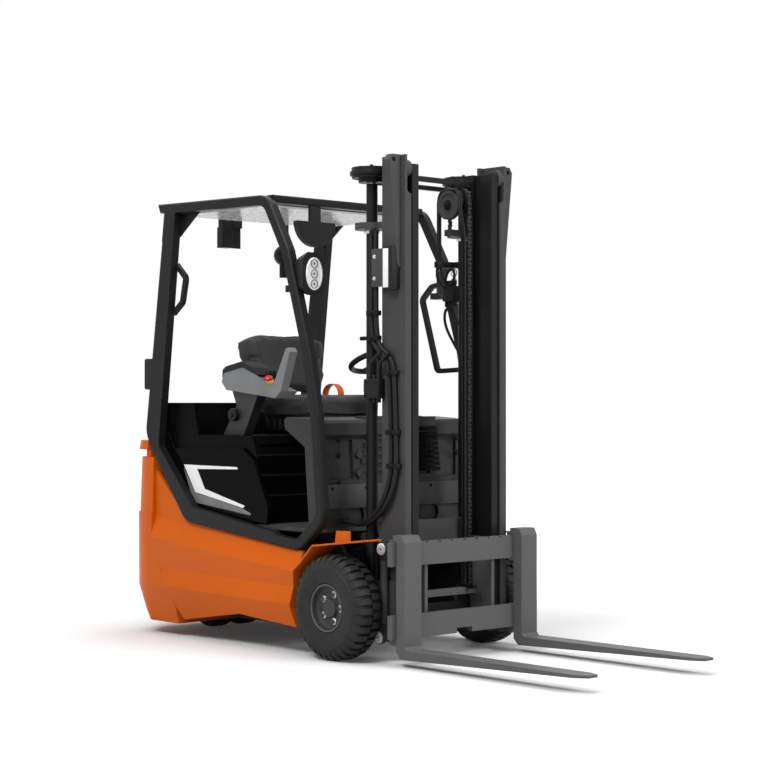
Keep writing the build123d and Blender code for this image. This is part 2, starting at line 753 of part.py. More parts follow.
# Front cowl: dash with a rolled lip, louvred centre box, recesses and connectors
with BuildPart() as front_cowl:
    with BuildSketch(side_plane(GUARD_INNER - FIT)):
        with BuildLine():
            Polyline(
                (COWL_FRONT, FLOOR_Z + FIT),
                (COWL_FRONT, COWL_TOP - 85),
                (COWL_FRONT + COWL_LIP, COWL_TOP - 66),
                (COWL_FRONT + COWL_LIP, COWL_TOP - 14),
                (COWL_FRONT + 8, COWL_TOP),
                (COWL_FRONT - 215, COWL_TOP + 12),
                (COWL_FRONT - 232, COWL_TOP - 4),
                (COWL_FRONT - 225, COWL_TOP - 40),
                (COWL_FRONT - 90, COWL_TOP - 120),
                (COWL_FRONT - 60, FLOOR_Z + FIT),
                close=True,
            )
        make_face()
    extrude(amount=2 * (GUARD_INNER - FIT))
    with BuildSketch(Plane.YZ.offset(COWL_FRONT)):
        for side in (-1, 1):
            with BuildLine():
                Polyline(
                    (side * 385, LEDGE_Z + 8),
                    (side * 385, COWL_TOP - 88),
                    (side * 262, COWL_TOP - 88),
                    (side * 250, LEDGE_Z + 8),
                    close=True,
                )
            make_face()
            with Locations((side * 231, FLOOR_Z + 50)):
                Circle(42)
    extrude(amount=-COWL_RECESS, mode=Mode.SUBTRACT)
    with BuildSketch(Plane.YZ.offset(COWL_FRONT - 90)):
        with BuildLine():
            Polyline(
                (-LOUVRE_HALF + 30, COWL_TOP + 16),
                (LOUVRE_HALF - 30, COWL_TOP + 16),
                (LOUVRE_HALF + 40, LEDGE_Z),
                (-LOUVRE_HALF - 40, LEDGE_Z),
                close=True,
            )
        make_face()
    extrude(amount=90 + LOUVRE_DEPTH)
    with BuildSketch(Plane.YZ.offset(COWL_FRONT + LOUVRE_DEPTH)):
        with GridLocations(0, LOUVRE_PITCH, 1, LOUVRE_COUNT):
            with Locations((0, LOUVRE_Z)):
                Rectangle(2 * LOUVRE_HALF + 120, LOUVRE_PITCH * 0.45)
    extrude(amount=-LOUVRE_DEPTH, mode=Mode.SUBTRACT)
    with BuildSketch(Plane.XY.offset(LEDGE_Z)):
        with Locations((COWL_FRONT, 0)):
            Rectangle(LEDGE_DEPTH, 2 * PLATE_INNER, align=(Align.MIN, Align.CENTER))
    extrude(amount=-LEDGE_THICK)
    with BuildSketch(Plane.YZ.offset(COWL_FRONT)):
        with Locations(*((side * 226, z) for side in (-1, 1) for z in (LEDGE_Z + 32, LEDGE_Z + 114))):
            Circle(CONNECTOR_R)
    extrude(amount=COWL_RECESS)

# Battery hood: seat deck and raised back
battery_room = (chassis_rear + PLATE_THICK + 5, HOOD_FRONT - 40)
with BuildPart() as battery_hood:
    with BuildSketch(side_plane(HOOD_HALF)):
        with BuildLine():
            Polyline(
                (HOOD_FRONT, plate_top + FIT),
                (HOOD_FRONT, HOOD_SEAT_Z - 275),
                (HOOD_FRONT - HOOD_STEP, HOOD_SEAT_Z - 262),
                (HOOD_FRONT - HOOD_STEP, HOOD_SEAT_Z - 182),
                (HOOD_FRONT - 2 * HOOD_STEP, HOOD_SEAT_Z - 169),
                (HOOD_FRONT - 2 * HOOD_STEP, HOOD_SEAT_Z - 90),
                (HOOD_FRONT - 5 * HOOD_STEP, HOOD_SEAT_Z),
                (HOOD_BACK_X, HOOD_SEAT_Z),
                (HOOD_BACK_X - 40, HOOD_BACK_Z),
                (HOOD_REAR + 25, HOOD_BACK_Z),
                (HOOD_REAR, HOOD_BACK_Z - 90),
                (HOOD_REAR, 862),
                (chassis_rear - 70, 862),
                (chassis_rear - 70, plate_top + FIT),
                close=True,
            )
        make_face()
    extrude(amount=2 * HOOD_HALF)
    with BuildSketch(side_plane(HOOD_HALF - 30)):
        with BuildLine():
            Polyline(
                (battery_room[0], plate_top - 10),
                (battery_room[1], plate_top - 10),
                (battery_room[1], HOOD_SEAT_Z - 40),
                (battery_room[0], HOOD_SEAT_Z - 40),
                close=True,
            )
        make_face()
    extrude(amount=2 * HOOD_HALF - 60, mode=Mode.SUBTRACT)

with BuildPart() as battery:
    with BuildSketch(Plane.XY.offset(CHASSIS_BOTTOM + PLATE_THICK)):
        with Locations(((battery_room[0] + battery_room[1]) / 2, 0)):
            Rectangle(battery_room[1] - battery_room[0] - 20, 2 * PLATE_INNER - 40)
    extrude(amount=HOOD_SEAT_Z - 60 - CHASSIS_BOTTOM - PLATE_THICK)

# Gloss side covers that close the gap between the hood and the guard's sill
with BuildPart() as side_cover_right:
    with BuildSketch(side_plane(-HOOD_HALF - COVER_THICK)):
        with BuildLine():
            Polyline(
                (AXLE_X - 1320, HOOD_SEAT_Z + 15),
                (AXLE_X - 1030, FLOOR_Z + 15),
                (AXLE_X - 480, FLOOR_Z + 4),
                (AXLE_X - 470, FLOOR_Z + 80),
                (AXLE_X - 575, HOOD_SEAT_Z - 110),
                (AXLE_X - 660, HOOD_SEAT_Z - 58),
                (AXLE_X - 1180, HOOD_SEAT_Z - 66),
                (AXLE_X - 1230, HOOD_SEAT_Z + 15),
                close=True,
            )
        make_face()
    extrude(amount=-COVER_THICK)
    add(guard_right.part, mode=Mode.SUBTRACT)

with BuildPart() as side_cover_left:
    mirror(side_cover_right.part, about=Plane.XZ)

with BuildPart() as side_accents:
    for side in (-1, 1):
        with BuildSketch(side_plane(side * (HOOD_HALF + COVER_THICK))):
            with BuildLine():
                Polyline(
                    (AXLE_X - 1100, ACCENT_Z),
                    (AXLE_X - 1010, ACCENT_Z - 128),
                    (AXLE_X - 649, ACCENT_Z - 189),
                    (AXLE_X - 638, ACCENT_Z - 178),
                    (AXLE_X - 938, ACCENT_Z - 111),
                    (AXLE_X - 998, ACCENT_Z - 19),
                    (AXLE_X - 689, ACCENT_Z - 13),
                    (AXLE_X - 695, ACCENT_Z - 3),
                    close=True,
                )
            make_face()
        extrude(amount=-side * ACCENT_THICK)

# Seat
seat_z = HOOD_SEAT_Z + SEAT_BASE_HEIGHT
with BuildPart() as seat_base:
    with BuildSketch(Plane.XY.offset(HOOD_SEAT_Z)):
        with Locations((SEAT_X, 0)):
            Rectangle(SEAT_LENGTH - 90, 2 * SEAT_HALF - 120)
    with BuildSketch(Plane.XY.offset(seat_z - FIT)):
        with Locations((SEAT_X, 0)):
            Rectangle(SEAT_LENGTH - 50, 2 * SEAT_HALF - 90)
    loft(ruled=True)

with BuildPart() as seat_cushion:
    with BuildSketch(Plane.XY.offset(seat_z)):
        with Locations((SEAT_X, 0)):
            RectangleRounded(SEAT_LENGTH, 2 * SEAT_HALF, 60)
    extrude(amount=CUSHION_THICK)
    fillet(seat_cushion.faces().sort_by(Axis.Z)[-1].edges(), 30)

back_foot = SEAT_X - SEAT_LENGTH / 2 + 25
back_z = seat_z + CUSHION_THICK + FIT
back_height = SEAT_TOP - back_z
back_upright = Plane(origin=(back_foot, 0, back_z), x_dir=(0, 1, 0), z_dir=(1, 0, 0))
back_plane = back_upright.rotated((0, -SEAT_LEAN, 0))
back_half = ((0.82, 0.0), (1.04, 0.28), (1.0, 0.5), (1.09, 0.64), (1.08, 0.9), (0.6, 1.0))
with BuildPart() as seat_back:
    with BuildSketch(back_plane):
        with BuildLine():
            FilletPolyline(
                *((share * SEAT_HALF, rise * back_height) for share, rise in back_half),
                *((-share * SEAT_HALF, rise * back_height) for share, rise in reversed(back_half)),
                radius=26,
                close=True,
            )
        make_face()
    extrude(amount=-BACK_THICK)
    chamfer(seat_back.faces().sort_by(Axis.X)[-1].edges(), 14)
    with BuildSketch(Plane.XY.offset(back_z)):
        with Locations((back_foot, 0)):
            Rectangle(4 * BACK_THICK, 3 * SEAT_HALF)
    extrude(amount=2 * back_height, mode=Mode.INTERSECT)

# Armrest: slanted column, tray with elbow pad and grip bar
arm_outer = ARM_Y - ARM_WIDTH / 2
arm_z = seat_z + CUSHION_THICK
with BuildPart() as armrest:
    with BuildSketch(side_plane(arm_outer)):
        with BuildLine():
            Polyline(
                (AXLE_X - 897, arm_z + 60),
                (AXLE_X - 862, arm_z + 22),
                (AXLE_X - 500, arm_z - 18),
                (AXLE_X - 462, arm_z + 14),
                (AXLE_X - 519, arm_z + 33),
                (AXLE_X - 567, arm_z + 53),
                (AXLE_X - 653, arm_z + 96),
                (AXLE_X - 739, arm_z + 132),
                (AXLE_X - 880, arm_z + 108),
                close=True,
            )
        make_face()
    extrude(amount=-ARM_WIDTH)
    with BuildSketch(side_plane(ARM_Y - 26)):
        with BuildLine():
            Polyline(
                (AXLE_X - 915, HOOD_SEAT_Z),
                (AXLE_X - 760, HOOD_SEAT_Z),
                (AXLE_X - 655, arm_z),
                (AXLE_X - 850, arm_z + 25),
                (AXLE_X - 815, arm_z - 50),
                close=True,
            )
        make_face()
    extrude(amount=-52)
    with BuildSketch(side_plane(arm_outer)):
        with BuildLine():
            Polyline(
                (AXLE_X - 519, arm_z + 33),
                (AXLE_X - 500, arm_z - 18),
                (AXLE_X - 462, arm_z + 14),
                (AXLE_X - 397, arm_z + 191),
                (AXLE_X - 410, arm_z + 211),
                (AXLE_X - 426, arm_z + 208),
                close=True,
            )
        make_face()
    extrude(amount=-ARM_WIDTH * 0.45)

belt_y = SEAT_HALF + 6
belt_x = back_foot - 10
belt_top = seat_z + 20
with BuildPart() as seat_belt:
    with BuildSketch(side_plane(belt_y + BELT_WIDTH)):
        with BuildLine():
            Line((belt_x - BELT_R, HOOD_SEAT_Z), (belt_x - BELT_R, belt_top))
            CenterArc((belt_x, belt_top), BELT_R, 180, -180)
            Line((belt_x + BELT_R, belt_top), (belt_x + BELT_R, HOOD_SEAT_Z))
        trace(line_width=BELT_THICK)
    extrude(amount=BELT_WIDTH)

# Steering column, wheel and pedals
column_dir = Vector(*WHEEL_CENTRE) - Vector(*COLUMN_FOOT)
column_length = column_dir.length
column_plane = Plane(origin=COLUMN_FOOT, x_dir=(0, 1, 0), z_dir=column_dir.normalized())
hub_drop = 40.0
with BuildPart() as steering_column:
    with BuildSketch(column_plane.offset(0)):
        Circle(COLUMN_R + 22)
    with BuildSketch(column_plane.offset(column_length - hub_drop - FIT)):
        Circle(COLUMN_R)
    loft()
    add(front_cowl.part, mode=Mode.SUBTRACT)

wheel_hub = column_plane.offset(column_length)
with BuildPart() as steering_wheel:
    with BuildSketch(Plane(origin=wheel_hub.origin, x_dir=wheel_hub.x_dir, z_dir=wheel_hub.y_dir)):
        with Locations((STEERING_R, 0)):
            Circle(STEERING_RIM_R)
    revolve(axis=Axis(wheel_hub.origin, wheel_hub.z_dir))
    with BuildSketch(wheel_hub.offset(-hub_drop)):
        Circle(COLUMN_R + 8)
    extrude(amount=hub_drop)
    with BuildSketch(wheel_hub.offset(-7)):
        with PolarLocations(STEERING_R / 2, 3, start_angle=90):
            Rectangle(STEERING_R - 6, 26)
    extrude(amount=12)

with BuildPart() as pedals:
    for pedal_y in (-120, -20):
        with BuildSketch(side_plane(pedal_y + 35)):
            with BuildLine():
                Polyline(
                    (COWL_FRONT - 130, FLOOR_Z),
                    (COWL_FRONT - 115, FLOOR_Z),
                    (COWL_FRONT - 80, FLOOR_Z + 130),
                    (COWL_FRONT - 105, FLOOR_Z + 130),
                    close=True,
                )
            make_face()
        extrude(amount=70)

# Lamps, mirror, grab handles and what hangs from the roof
lamp_rear = AXLE_X - 262
lens_x = lamp_rear + LAMP_DEPTH
with BuildPart() as work_lights:
    for side in (-1, 1):
        lamp_plane = Plane(origin=(lamp_rear, side * LAMP_Y, LAMP_Z), x_dir=(0, 1, 0), z_dir=(1, 0, 0))
        with BuildSketch(lamp_plane) as lamp_back:
            Rectangle(LAMP_WIDTH - 30, LAMP_HEIGHT - 40)
            chamfer(lamp_back.vertices(), LAMP_CORNER)
        with BuildSketch(lamp_plane.offset(LAMP_DEPTH)) as lamp_face:
            Rectangle(LAMP_WIDTH, LAMP_HEIGHT)
            chamfer(lamp_face.vertices(), LAMP_CORNER)
        loft(ruled=True)
        with BuildSketch(lamp_plane):
            with Locations((side * 8, -LAMP_HEIGHT / 2 + 34)):
                Rectangle(44, 30)
        extrude(amount=-70)
    add(guard_right.part, mode=Mode.SUBTRACT)
    add(guard_left.part, mode=Mode.SUBTRACT)

with BuildPart() as lamp_lenses:
    for side in (-1, 1):
        lens_at = (lens_x, side * (LAMP_Y - 8), LAMP_Z)
        with BuildSketch(Plane(origin=lens_at, x_dir=(0, 1, 0), z_dir=(1, 0, 0))):
            Ellipse(LAMP_WIDTH * 0.41, LAMP_HEIGHT * 0.38)
        extrude(amount=LENS_THICK)

right_handle = (
    (AXLE_X - 1160, 1770),
    (AXLE_X - 1085, 1705),
    (AXLE_X - 1112, 1590),
    (AXLE_X - 1185, 1538),
)
left_handle = (
    (AXLE_X - 255, 1682),
    (AXLE_X - 351, 1667),
    (AXLE_X - 418, 1607),
    (AXLE_X - 312, 1262),
    (AXLE_X - 150, 1268),
)
with BuildPart() as grab_handles:
    for side, points in ((-1, right_handle), (1, left_handle)):
        with BuildSketch(side_plane(side * (GUARD_INNER + 8))):
            with BuildLine():
                FilletPolyline(*points, radius=24)
            trace(line_width=HANDLE_WIDTH)
        extrude(amount=side * HANDLE_WIDTH)
    add(work_lights.part, mode=Mode.SUBTRACT)
    add(guard_right.part, mode=Mode.SUBTRACT)
    add(guard_left.part, mode=Mode.SUBTRACT)

with BuildPart() as mirror_bracket:
    with BuildSketch(Plane(origin=(AXLE_X - 445, MIRROR_Y, MIRROR_Z), x_dir=(0, 1, 0), z_dir=(1, 0, 0))):
        with BuildLine():
            CenterArc((0, 0), MIRROR_R, 180, 180)
            Line((MIRROR_R, 0), (-MIRROR_R, 0))
        make_face()
    extrude(amount=28)
    with BuildSketch(Plane.XY.offset(MIRROR_Z)):
        with Locations((AXLE_X - 431, MIRROR_Y)):
            Rectangle(18, 60)
    extrude(amount=roof_z - MIRROR_Z - FIT)

beacon_at = (AXLE_X - 1195, 235, roof_z - 158)
with BuildPart() as roof_fittings:
    with Locations(beacon_at):
        Sphere(BEACON_R)
        Cylinder(BEACON_R * 0.45, BEACON_R + 60, align=(Align.CENTER, Align.CENTER, Align.MAX))
    with BuildSketch(Plane.XY.offset(beacon_at[2])):
        with Locations(beacon_at[:2]):
            Rectangle(20, 44)
    extrude(amount=roof_z - beacon_at[2] - FIT)
    with BuildSketch(Plane.XY.offset(roof_z - FIT)):
        with Locations((AXLE_X - 1195, -140), (AXLE_X - 1195, -75)):
            Rectangle(30, 60)
    extrude(amount=-40)
    with BuildSketch(Plane.XY.offset(roof_z - 40)):
        with Locations((AXLE_X - 1198, -140)):
            RectangleRounded(52, 62, 8)
    extrude(amount=-100)
    with BuildSketch(Plane.XY.offset(roof_z - 40)):
        with Locations((AXLE_X - 1195, -75)):
            Rectangle(6, 58)
    extrude(amount=-100)

with BuildPart() as rear_lamps:
    for side in (-1, 1):
        with BuildSketch(Plane.YZ.offset(AXLE_X - 1318 - GUARD_TUBE)):
            with Locations((side * (GUARD_OUTER - 20), 1250)):
                RectangleRounded(40, 150, 12)
        extrude(amount=60)
    add(guard_right.part, mode=Mode.SUBTRACT)
    add(guard_left.part, mode=Mode.SUBTRACT)


def channel(y_outer, web, flange, flange_width, bottom, top, front, rear):
    """A mast channel open towards the truck's middle, on the right side."""
    with BuildPart() as rail:
        with BuildSketch(Plane.XY.offset(bottom)):
            with Locations(((front + rear) / 2, -y_outer + flange_width / 2)):
                Rectangle(front - rear, flange_width)
            with Locations(((front + rear) / 2, -y_outer + web + flange_width / 2)):
                Rectangle(front - rear - 2 * flange, flange_width, mode=Mode.SUBTRACT)
        extrude(amount=top - bottom)
    return rail.part


# Outer mast: channels, ties, pivot arms, lifting fins, guide rollers and cylinder brackets
outer_web_face = -MAST_HALF + CHANNEL_WEB
outer_lip = -MAST_HALF + OUTER_FLANGE_WIDTH
with BuildPart() as outer_mast_half:
    add(channel(MAST_HALF, CHANNEL_WEB, CHANNEL_FLANGE, OUTER_FLANGE_WIDTH, MAST_BOTTOM, MAST_HEIGHT,
                MAST_FRONT, MAST_REAR))
    with BuildSketch(side_plane(-MAST_HALF)):
        with BuildLine():
            Polyline(
                (MAST_FRONT - 40, MAST_BOTTOM + 20),
                (MAST_FRONT - 40, PIVOT_Z + 120),
                (MAST_REAR, PIVOT_Z + 120),
                (AXLE_X - 20, PIVOT_Z + 56),
                (AXLE_X - 20, PIVOT_Z - 56),
                (MAST_REAR, MAST_BOTTOM + 20),
                close=True,
            )
        make_face()
        with Locations((AXLE_X, PIVOT_Z)):
            Circle(ARM_EYE_R)
            Circle(PIVOT_R + FIT, mode=Mode.SUBTRACT)
    extrude(amount=ARM_THICK)
    with BuildSketch(Plane.YZ.offset(MAST_FRONT)):
        with BuildLine():
            Polyline(
                (outer_lip + 1, MAST_HEIGHT),
                (outer_lip + 1, MAST_HEIGHT - NOTCH_DROP),
                (outer_web_face + NOTCH_CORNER, MAST_HEIGHT - NOTCH_DROP),
                (outer_web_face, MAST_HEIGHT - NOTCH_DROP + NOTCH_CORNER),
                (outer_web_face, MAST_HEIGHT),
                close=True,
            )
        make_face()
    extrude(amount=-CHANNEL_FLANGE, mode=Mode.SUBTRACT)
    with BuildSketch(wheel_plane(MAST_FRONT - GUIDE_R, outer_web_face, MAST_HEIGHT - 55)):
        Circle(GUIDE_R)
    extrude(amount=-INNER_OUTER_Y - 6 - outer_web_face)
    with BuildSketch(Plane.YZ.offset(MAST_FRONT - 61)):
        with BuildLine():
            Polyline(
                (-MAST_HALF, MAST_HEIGHT),
                (-MAST_HALF - FIN_REACH + 16, MAST_HEIGHT),
                (-MAST_HALF - FIN_REACH, MAST_HEIGHT - 25),
                (-MAST_HALF - FIN_REACH * 0.3, MAST_HEIGHT - FIN_DROP + 14),
                (-MAST_HALF - FIN_REACH * 0.12, MAST_HEIGHT - FIN_DROP),
                (-MAST_HALF, MAST_HEIGHT - FIN_DROP),
                close=True,
            )
        make_face()
        with Locations((-MAST_HALF - FIN_REACH * 0.62, MAST_HEIGHT - 23)):
            Circle(FIN_HOLE_R, mode=Mode.SUBTRACT)
    extrude(amount=FIN_THICK)
    for plate_z, plate_r in ((BRACKET_Z, BRACKET_R), (MAST_BOTTOM, BARREL_R + 12)):
        with BuildSketch(Plane.XY.offset(plate_z)):
            with Locations((LIFT_X, -LIFT_Y)):
                Circle(plate_r)
            with Locations(((LIFT_X + MAST_REAR) / 2, -LIFT_Y)):
                Rectangle(MAST_REAR - LIFT_X, 2 * (MAST_HALF - LIFT_Y))
            with Locations((LIFT_X, -LIFT_Y)):
                Circle(BARREL_R + FIT, mode=Mode.SUBTRACT)
        extrude(amount=BRACKET_THICK)
    lug_start = SHEAVE_Y - SHEAVE_WIDTH / 2
    with BuildSketch(Plane.XY.offset(BRACKET_Z)):
        with Locations((REAR_RUN_X, -lug_start)):
            Rectangle(44, LIFT_Y - BRACKET_R + 20 - lug_start, align=(Align.CENTER, Align.MAX))
    extrude(amount=BRACKET_THICK - FIT)

with BuildPart() as outer_mast:
    add(outer_mast_half.part)
    mirror(outer_mast_half.part, about=Plane.XZ)
    for tie_z, tie_height in OUTER_TIES:
        with BuildSketch(Plane.XY.offset(tie_z)):
            with Locations((MAST_REAR - TIE_DEPTH / 2, 0)):
                Rectangle(TIE_DEPTH, 2 * MAST_HALF - CHANNEL_WEB)
        extrude(amount=tie_height)
    for side in (-1, 1):
        for wall in (-1, 1):
            ear_face = side * TILT_Y + wall * (TILT_EYE_WIDTH / 2 + 2)
            with BuildSketch(side_plane(ear_face)):
                with BuildLine():
                    Polyline(
                        (MAST_REAR - TIE_DEPTH, TILT_FRONT[1] - 34),
                        (MAST_REAR - TIE_DEPTH, TILT_FRONT[1] + 34),
                        (TILT_FRONT[0], TILT_FRONT[1] + CLEVIS_R),
                        (TILT_FRONT[0], TILT_FRONT[1] - CLEVIS_R),
                        close=True,
                    )
                make_face()
                with Locations(TILT_FRONT):
                    Circle(CLEVIS_R)
            extrude(amount=-wall * CLEVIS_THICK)
        with BuildSketch(side_plane(side * TILT_Y + TILT_EYE_WIDTH / 2 + 2 + CLEVIS_THICK)):
            with Locations(TILT_FRONT):
                Circle(TILT_PIN_R)
        extrude(amount=TILT_EYE_WIDTH + 4 + 2 * CLEVIS_THICK)

# Lift cylinders: hollow barrels on the outer mast, rods on the inner mast
barrel_foot = MAST_BOTTOM + BRACKET_THICK / 2
with BuildPart() as lift_barrels:
    for side in (-1, 1):
        with BuildSketch(Plane.XY.offset(barrel_foot)):
            with Locations((LIFT_X, side * LIFT_Y)):
                Circle(BARREL_R)
        extrude(amount=BARREL_TOP - barrel_foot)
        with BuildSketch(Plane.XY.offset(barrel_foot + 20)):
            with Locations((LIFT_X, side * LIFT_Y)):
                Circle(BARREL_BORE)
        extrude(amount=BARREL_TOP - GLAND_THICK - barrel_foot - 20, mode=Mode.SUBTRACT)
        with BuildSketch(Plane.XY.offset(BARREL_TOP - GLAND_THICK)):
            with Locations((LIFT_X, side * LIFT_Y)):
                Circle(ROD_R + FIT)
        extrude(amount=GLAND_THICK, mode=Mode.SUBTRACT)
        with BuildSketch(Plane.XY.offset(BRACKET_Z - FIT)):
            with Locations((LIFT_X, side * LIFT_Y)):
                Circle(BARREL_R + 7)
                Circle(BARREL_R - 1, mode=Mode.SUBTRACT)
        extrude(amount=-COLLAR_HEIGHT)

# Pin caps, their brackets and the posts between them on the outer faces of the outer mast
cap_mounts = ((MAST_HALF + ARM_THICK, 90.0, 195.0, 103.0), (MAST_HALF, 405.0, 505.0, 481.0))
post_y = MAST_HALF + ARM_THICK + CAP_POST_R + 2
with BuildPart() as mast_caps:
    for side in (-1, 1):
        for face_y, low, high, cap_z in cap_mounts:
            with BuildSketch(side_plane(side * face_y)):
                with Locations((CAP_X + 33, (low + high) / 2)):
                    RectangleRounded(88, high - low, 12)
                with Locations((CAP_X, cap_z)):
                    Circle(CAP_R + 4)
            extrude(amount=-side * CAP_BRACKET)
            with BuildSketch(side_plane(side * (face_y + CAP_BRACKET))):
                with Locations((CAP_X, cap_z)):
                    Circle(CAP_R)
            extrude(amount=-side * CAP_THICK)
        with BuildSketch(Plane.XY.offset(cap_mounts[0][2] - 30)):
            with Locations((CAP_X + 33, side * post_y)):
                Circle(CAP_POST_R)
        extrude(amount=cap_mounts[1][1] + 60 - cap_mounts[0][2])

# Inner mast: channels, ties, head plates and rollers
inner_rear = MAST_REAR + INNER_SET
with BuildPart() as inner_mast_half:
    add(channel(INNER_OUTER_Y, CHANNEL_WEB, CHANNEL_FLANGE, INNER_FLANGE_WIDTH, INNER_BOTTOM, INNER_TOP,
                MAST_FRONT - INNER_SET, inner_rear))
    head_z = HEAD_Z
    for plate_r, plate_height in HEAD_STEPS:
        with BuildSketch(Plane.XY.offset(head_z)):
            with Locations((LIFT_X, -LIFT_Y)):
                Circle(plate_r)
            with Locations((MAST_REAR - HEAD_CLEARANCE, -INNER_OUTER_Y)):
                Rectangle(2 * plate_r, 2 * plate_r, align=(Align.MIN, Align.MAX), mode=Mode.SUBTRACT)
        extrude(amount=plate_height)
        head_z += plate_height
    with BuildSketch(Plane.XY.offset(HEAD_Z + HEAD_STEPS[0][1])):
        with Locations((LIFT_X, -INNER_OUTER_Y)):
            Rectangle(inner_rear + CHANNEL_FLANGE - LIFT_X, INNER_FLANGE_WIDTH, align=(Align.MIN, Align.MIN))
    extrude(amount=INNER_TOP - HEAD_Z - HEAD_STEPS[0][1])
    with BuildSketch(wheel_plane((MAST_FRONT + MAST_REAR) / 2, -INNER_OUTER_Y, INNER_BOTTOM + ROLLER_R + 10)):
        Circle(ROLLER_R)
    extrude(amount=-(MAST_HALF - CHANNEL_WEB - INNER_OUTER_Y - 6))

with BuildPart() as inner_mast:
    add(inner_mast_half.part)
    mirror(inner_mast_half.part, about=Plane.XZ)
    inner_span = 2 * (INNER_OUTER_Y - INNER_FLANGE_WIDTH + 4)
    for tie_z, tie_height in INNER_TIES:
        with BuildSketch(Plane.XY.offset(tie_z)):
            with Locations((inner_rear + TIE_THICK / 2, 0)):
                Rectangle(TIE_THICK, inner_span)
        extrude(amount=tie_height)
    with BuildSketch(Plane.XY.offset(HEAD_Z - 5)):
        with Locations((LIFT_X - 9, 0)):
            Rectangle(CROSSHEAD[0], 2 * (LIFT_Y - HEAD_STEPS[0][0] + 12))
    extrude(amount=CROSSHEAD[1])

with BuildPart() as lift_rods:
    for side in (-1, 1):
        with BuildSketch(Plane.XY.offset(barrel_foot + 30)):
            with Locations((LIFT_X, side * LIFT_Y)):
                Circle(ROD_R)
        extrude(amount=HEAD_Z - barrel_foot - 30)

# Chain sheaves and a hose pulley on cheek plates under the inner mast's top tie
cheek_y = SHEAVE_Y - SHEAVE_WIDTH / 2
groove_half = SHEAVE_WIDTH / 2 - 3
rim_r = SHEAVE_R + SHEAVE_GROOVE
with BuildPart() as chain_sheaves:
    for side in (-1, 1):
        with BuildSketch(section_plane(SHEAVE_X, side * SHEAVE_Y, SHEAVE_Z)):
            with BuildLine():
                Polyline(
                    (-SHEAVE_WIDTH / 2, 0),
                    (-SHEAVE_WIDTH / 2, rim_r),
                    (-groove_half, rim_r),
                    (-groove_half, SHEAVE_R),
                    (groove_half, SHEAVE_R),
                    (groove_half, rim_r),
                    (SHEAVE_WIDTH / 2, rim_r),
                    (SHEAVE_WIDTH / 2, 0),
                    close=True,
                )
            make_face()
        revolve(axis=Axis((SHEAVE_X, side * SHEAVE_Y, SHEAVE_Z), (0, 1, 0)))
        with BuildSketch(side_plane(side * cheek_y)):
            with BuildLine():
                Polyline(
                    (SHEAVE_X - CHEEK_HALF, SHEAVE_Z - CHEEK_HALF),
                    (SHEAVE_X + CHEEK_HALF, SHEAVE_Z - CHEEK_HALF),
                    (inner_rear + TIE_THICK, TOP_TIE_Z - FIT),
                    (inner_rear - TIE_THICK, TOP_TIE_Z - FIT),
                    close=True,
                )
            make_face()
        extrude(amount=side * CHEEK_THICK)
    with BuildSketch(wheel_plane(SHEAVE_X, HOSE_PULLEY_Y - CHEEK_THICK, SHEAVE_Z)):
        Circle(HOSE_PULLEY_R)
        Circle(HOSE_PULLEY_R - 30, mode=Mode.SUBTRACT)
    extrude(amount=2 * CHEEK_THICK)
    with BuildSketch(wheel_plane(SHEAVE_X, HOSE_PULLEY_Y - CHEEK_THICK + 4, SHEAVE_Z)):
        Circle(HOSE_PULLEY_R - 28)
    extrude(amount=cheek_y - HOSE_PULLEY_Y + CHEEK_THICK - 6)

# Leaf chains: front runs to the carriage, rear runs to the outer mast
with BuildPart() as front_chains:
    for side in (-1, 1):
        with BuildSketch(Plane.XY.offset(CHAIN_ANCHOR_Z)):
            with Locations((FRONT_RUN_X, side * SHEAVE_Y)):
                Rectangle(CHAIN_THICK, CHAIN_WIDTH)
        extrude(amount=SHEAVE_Z - CHAIN_ANCHOR_Z)

rear_anchor_z = BRACKET_Z + BRACKET_THICK
with BuildPart() as rear_chains:
    for side in (-1, 1):
        with BuildSketch(Plane.XY.offset(rear_anchor_z)):
            with Locations((REAR_RUN_X, side * SHEAVE_Y)):
                Rectangle(CHAIN_THICK, CHAIN_WIDTH)
        extrude(amount=SHEAVE_Z - rear_anchor_z)

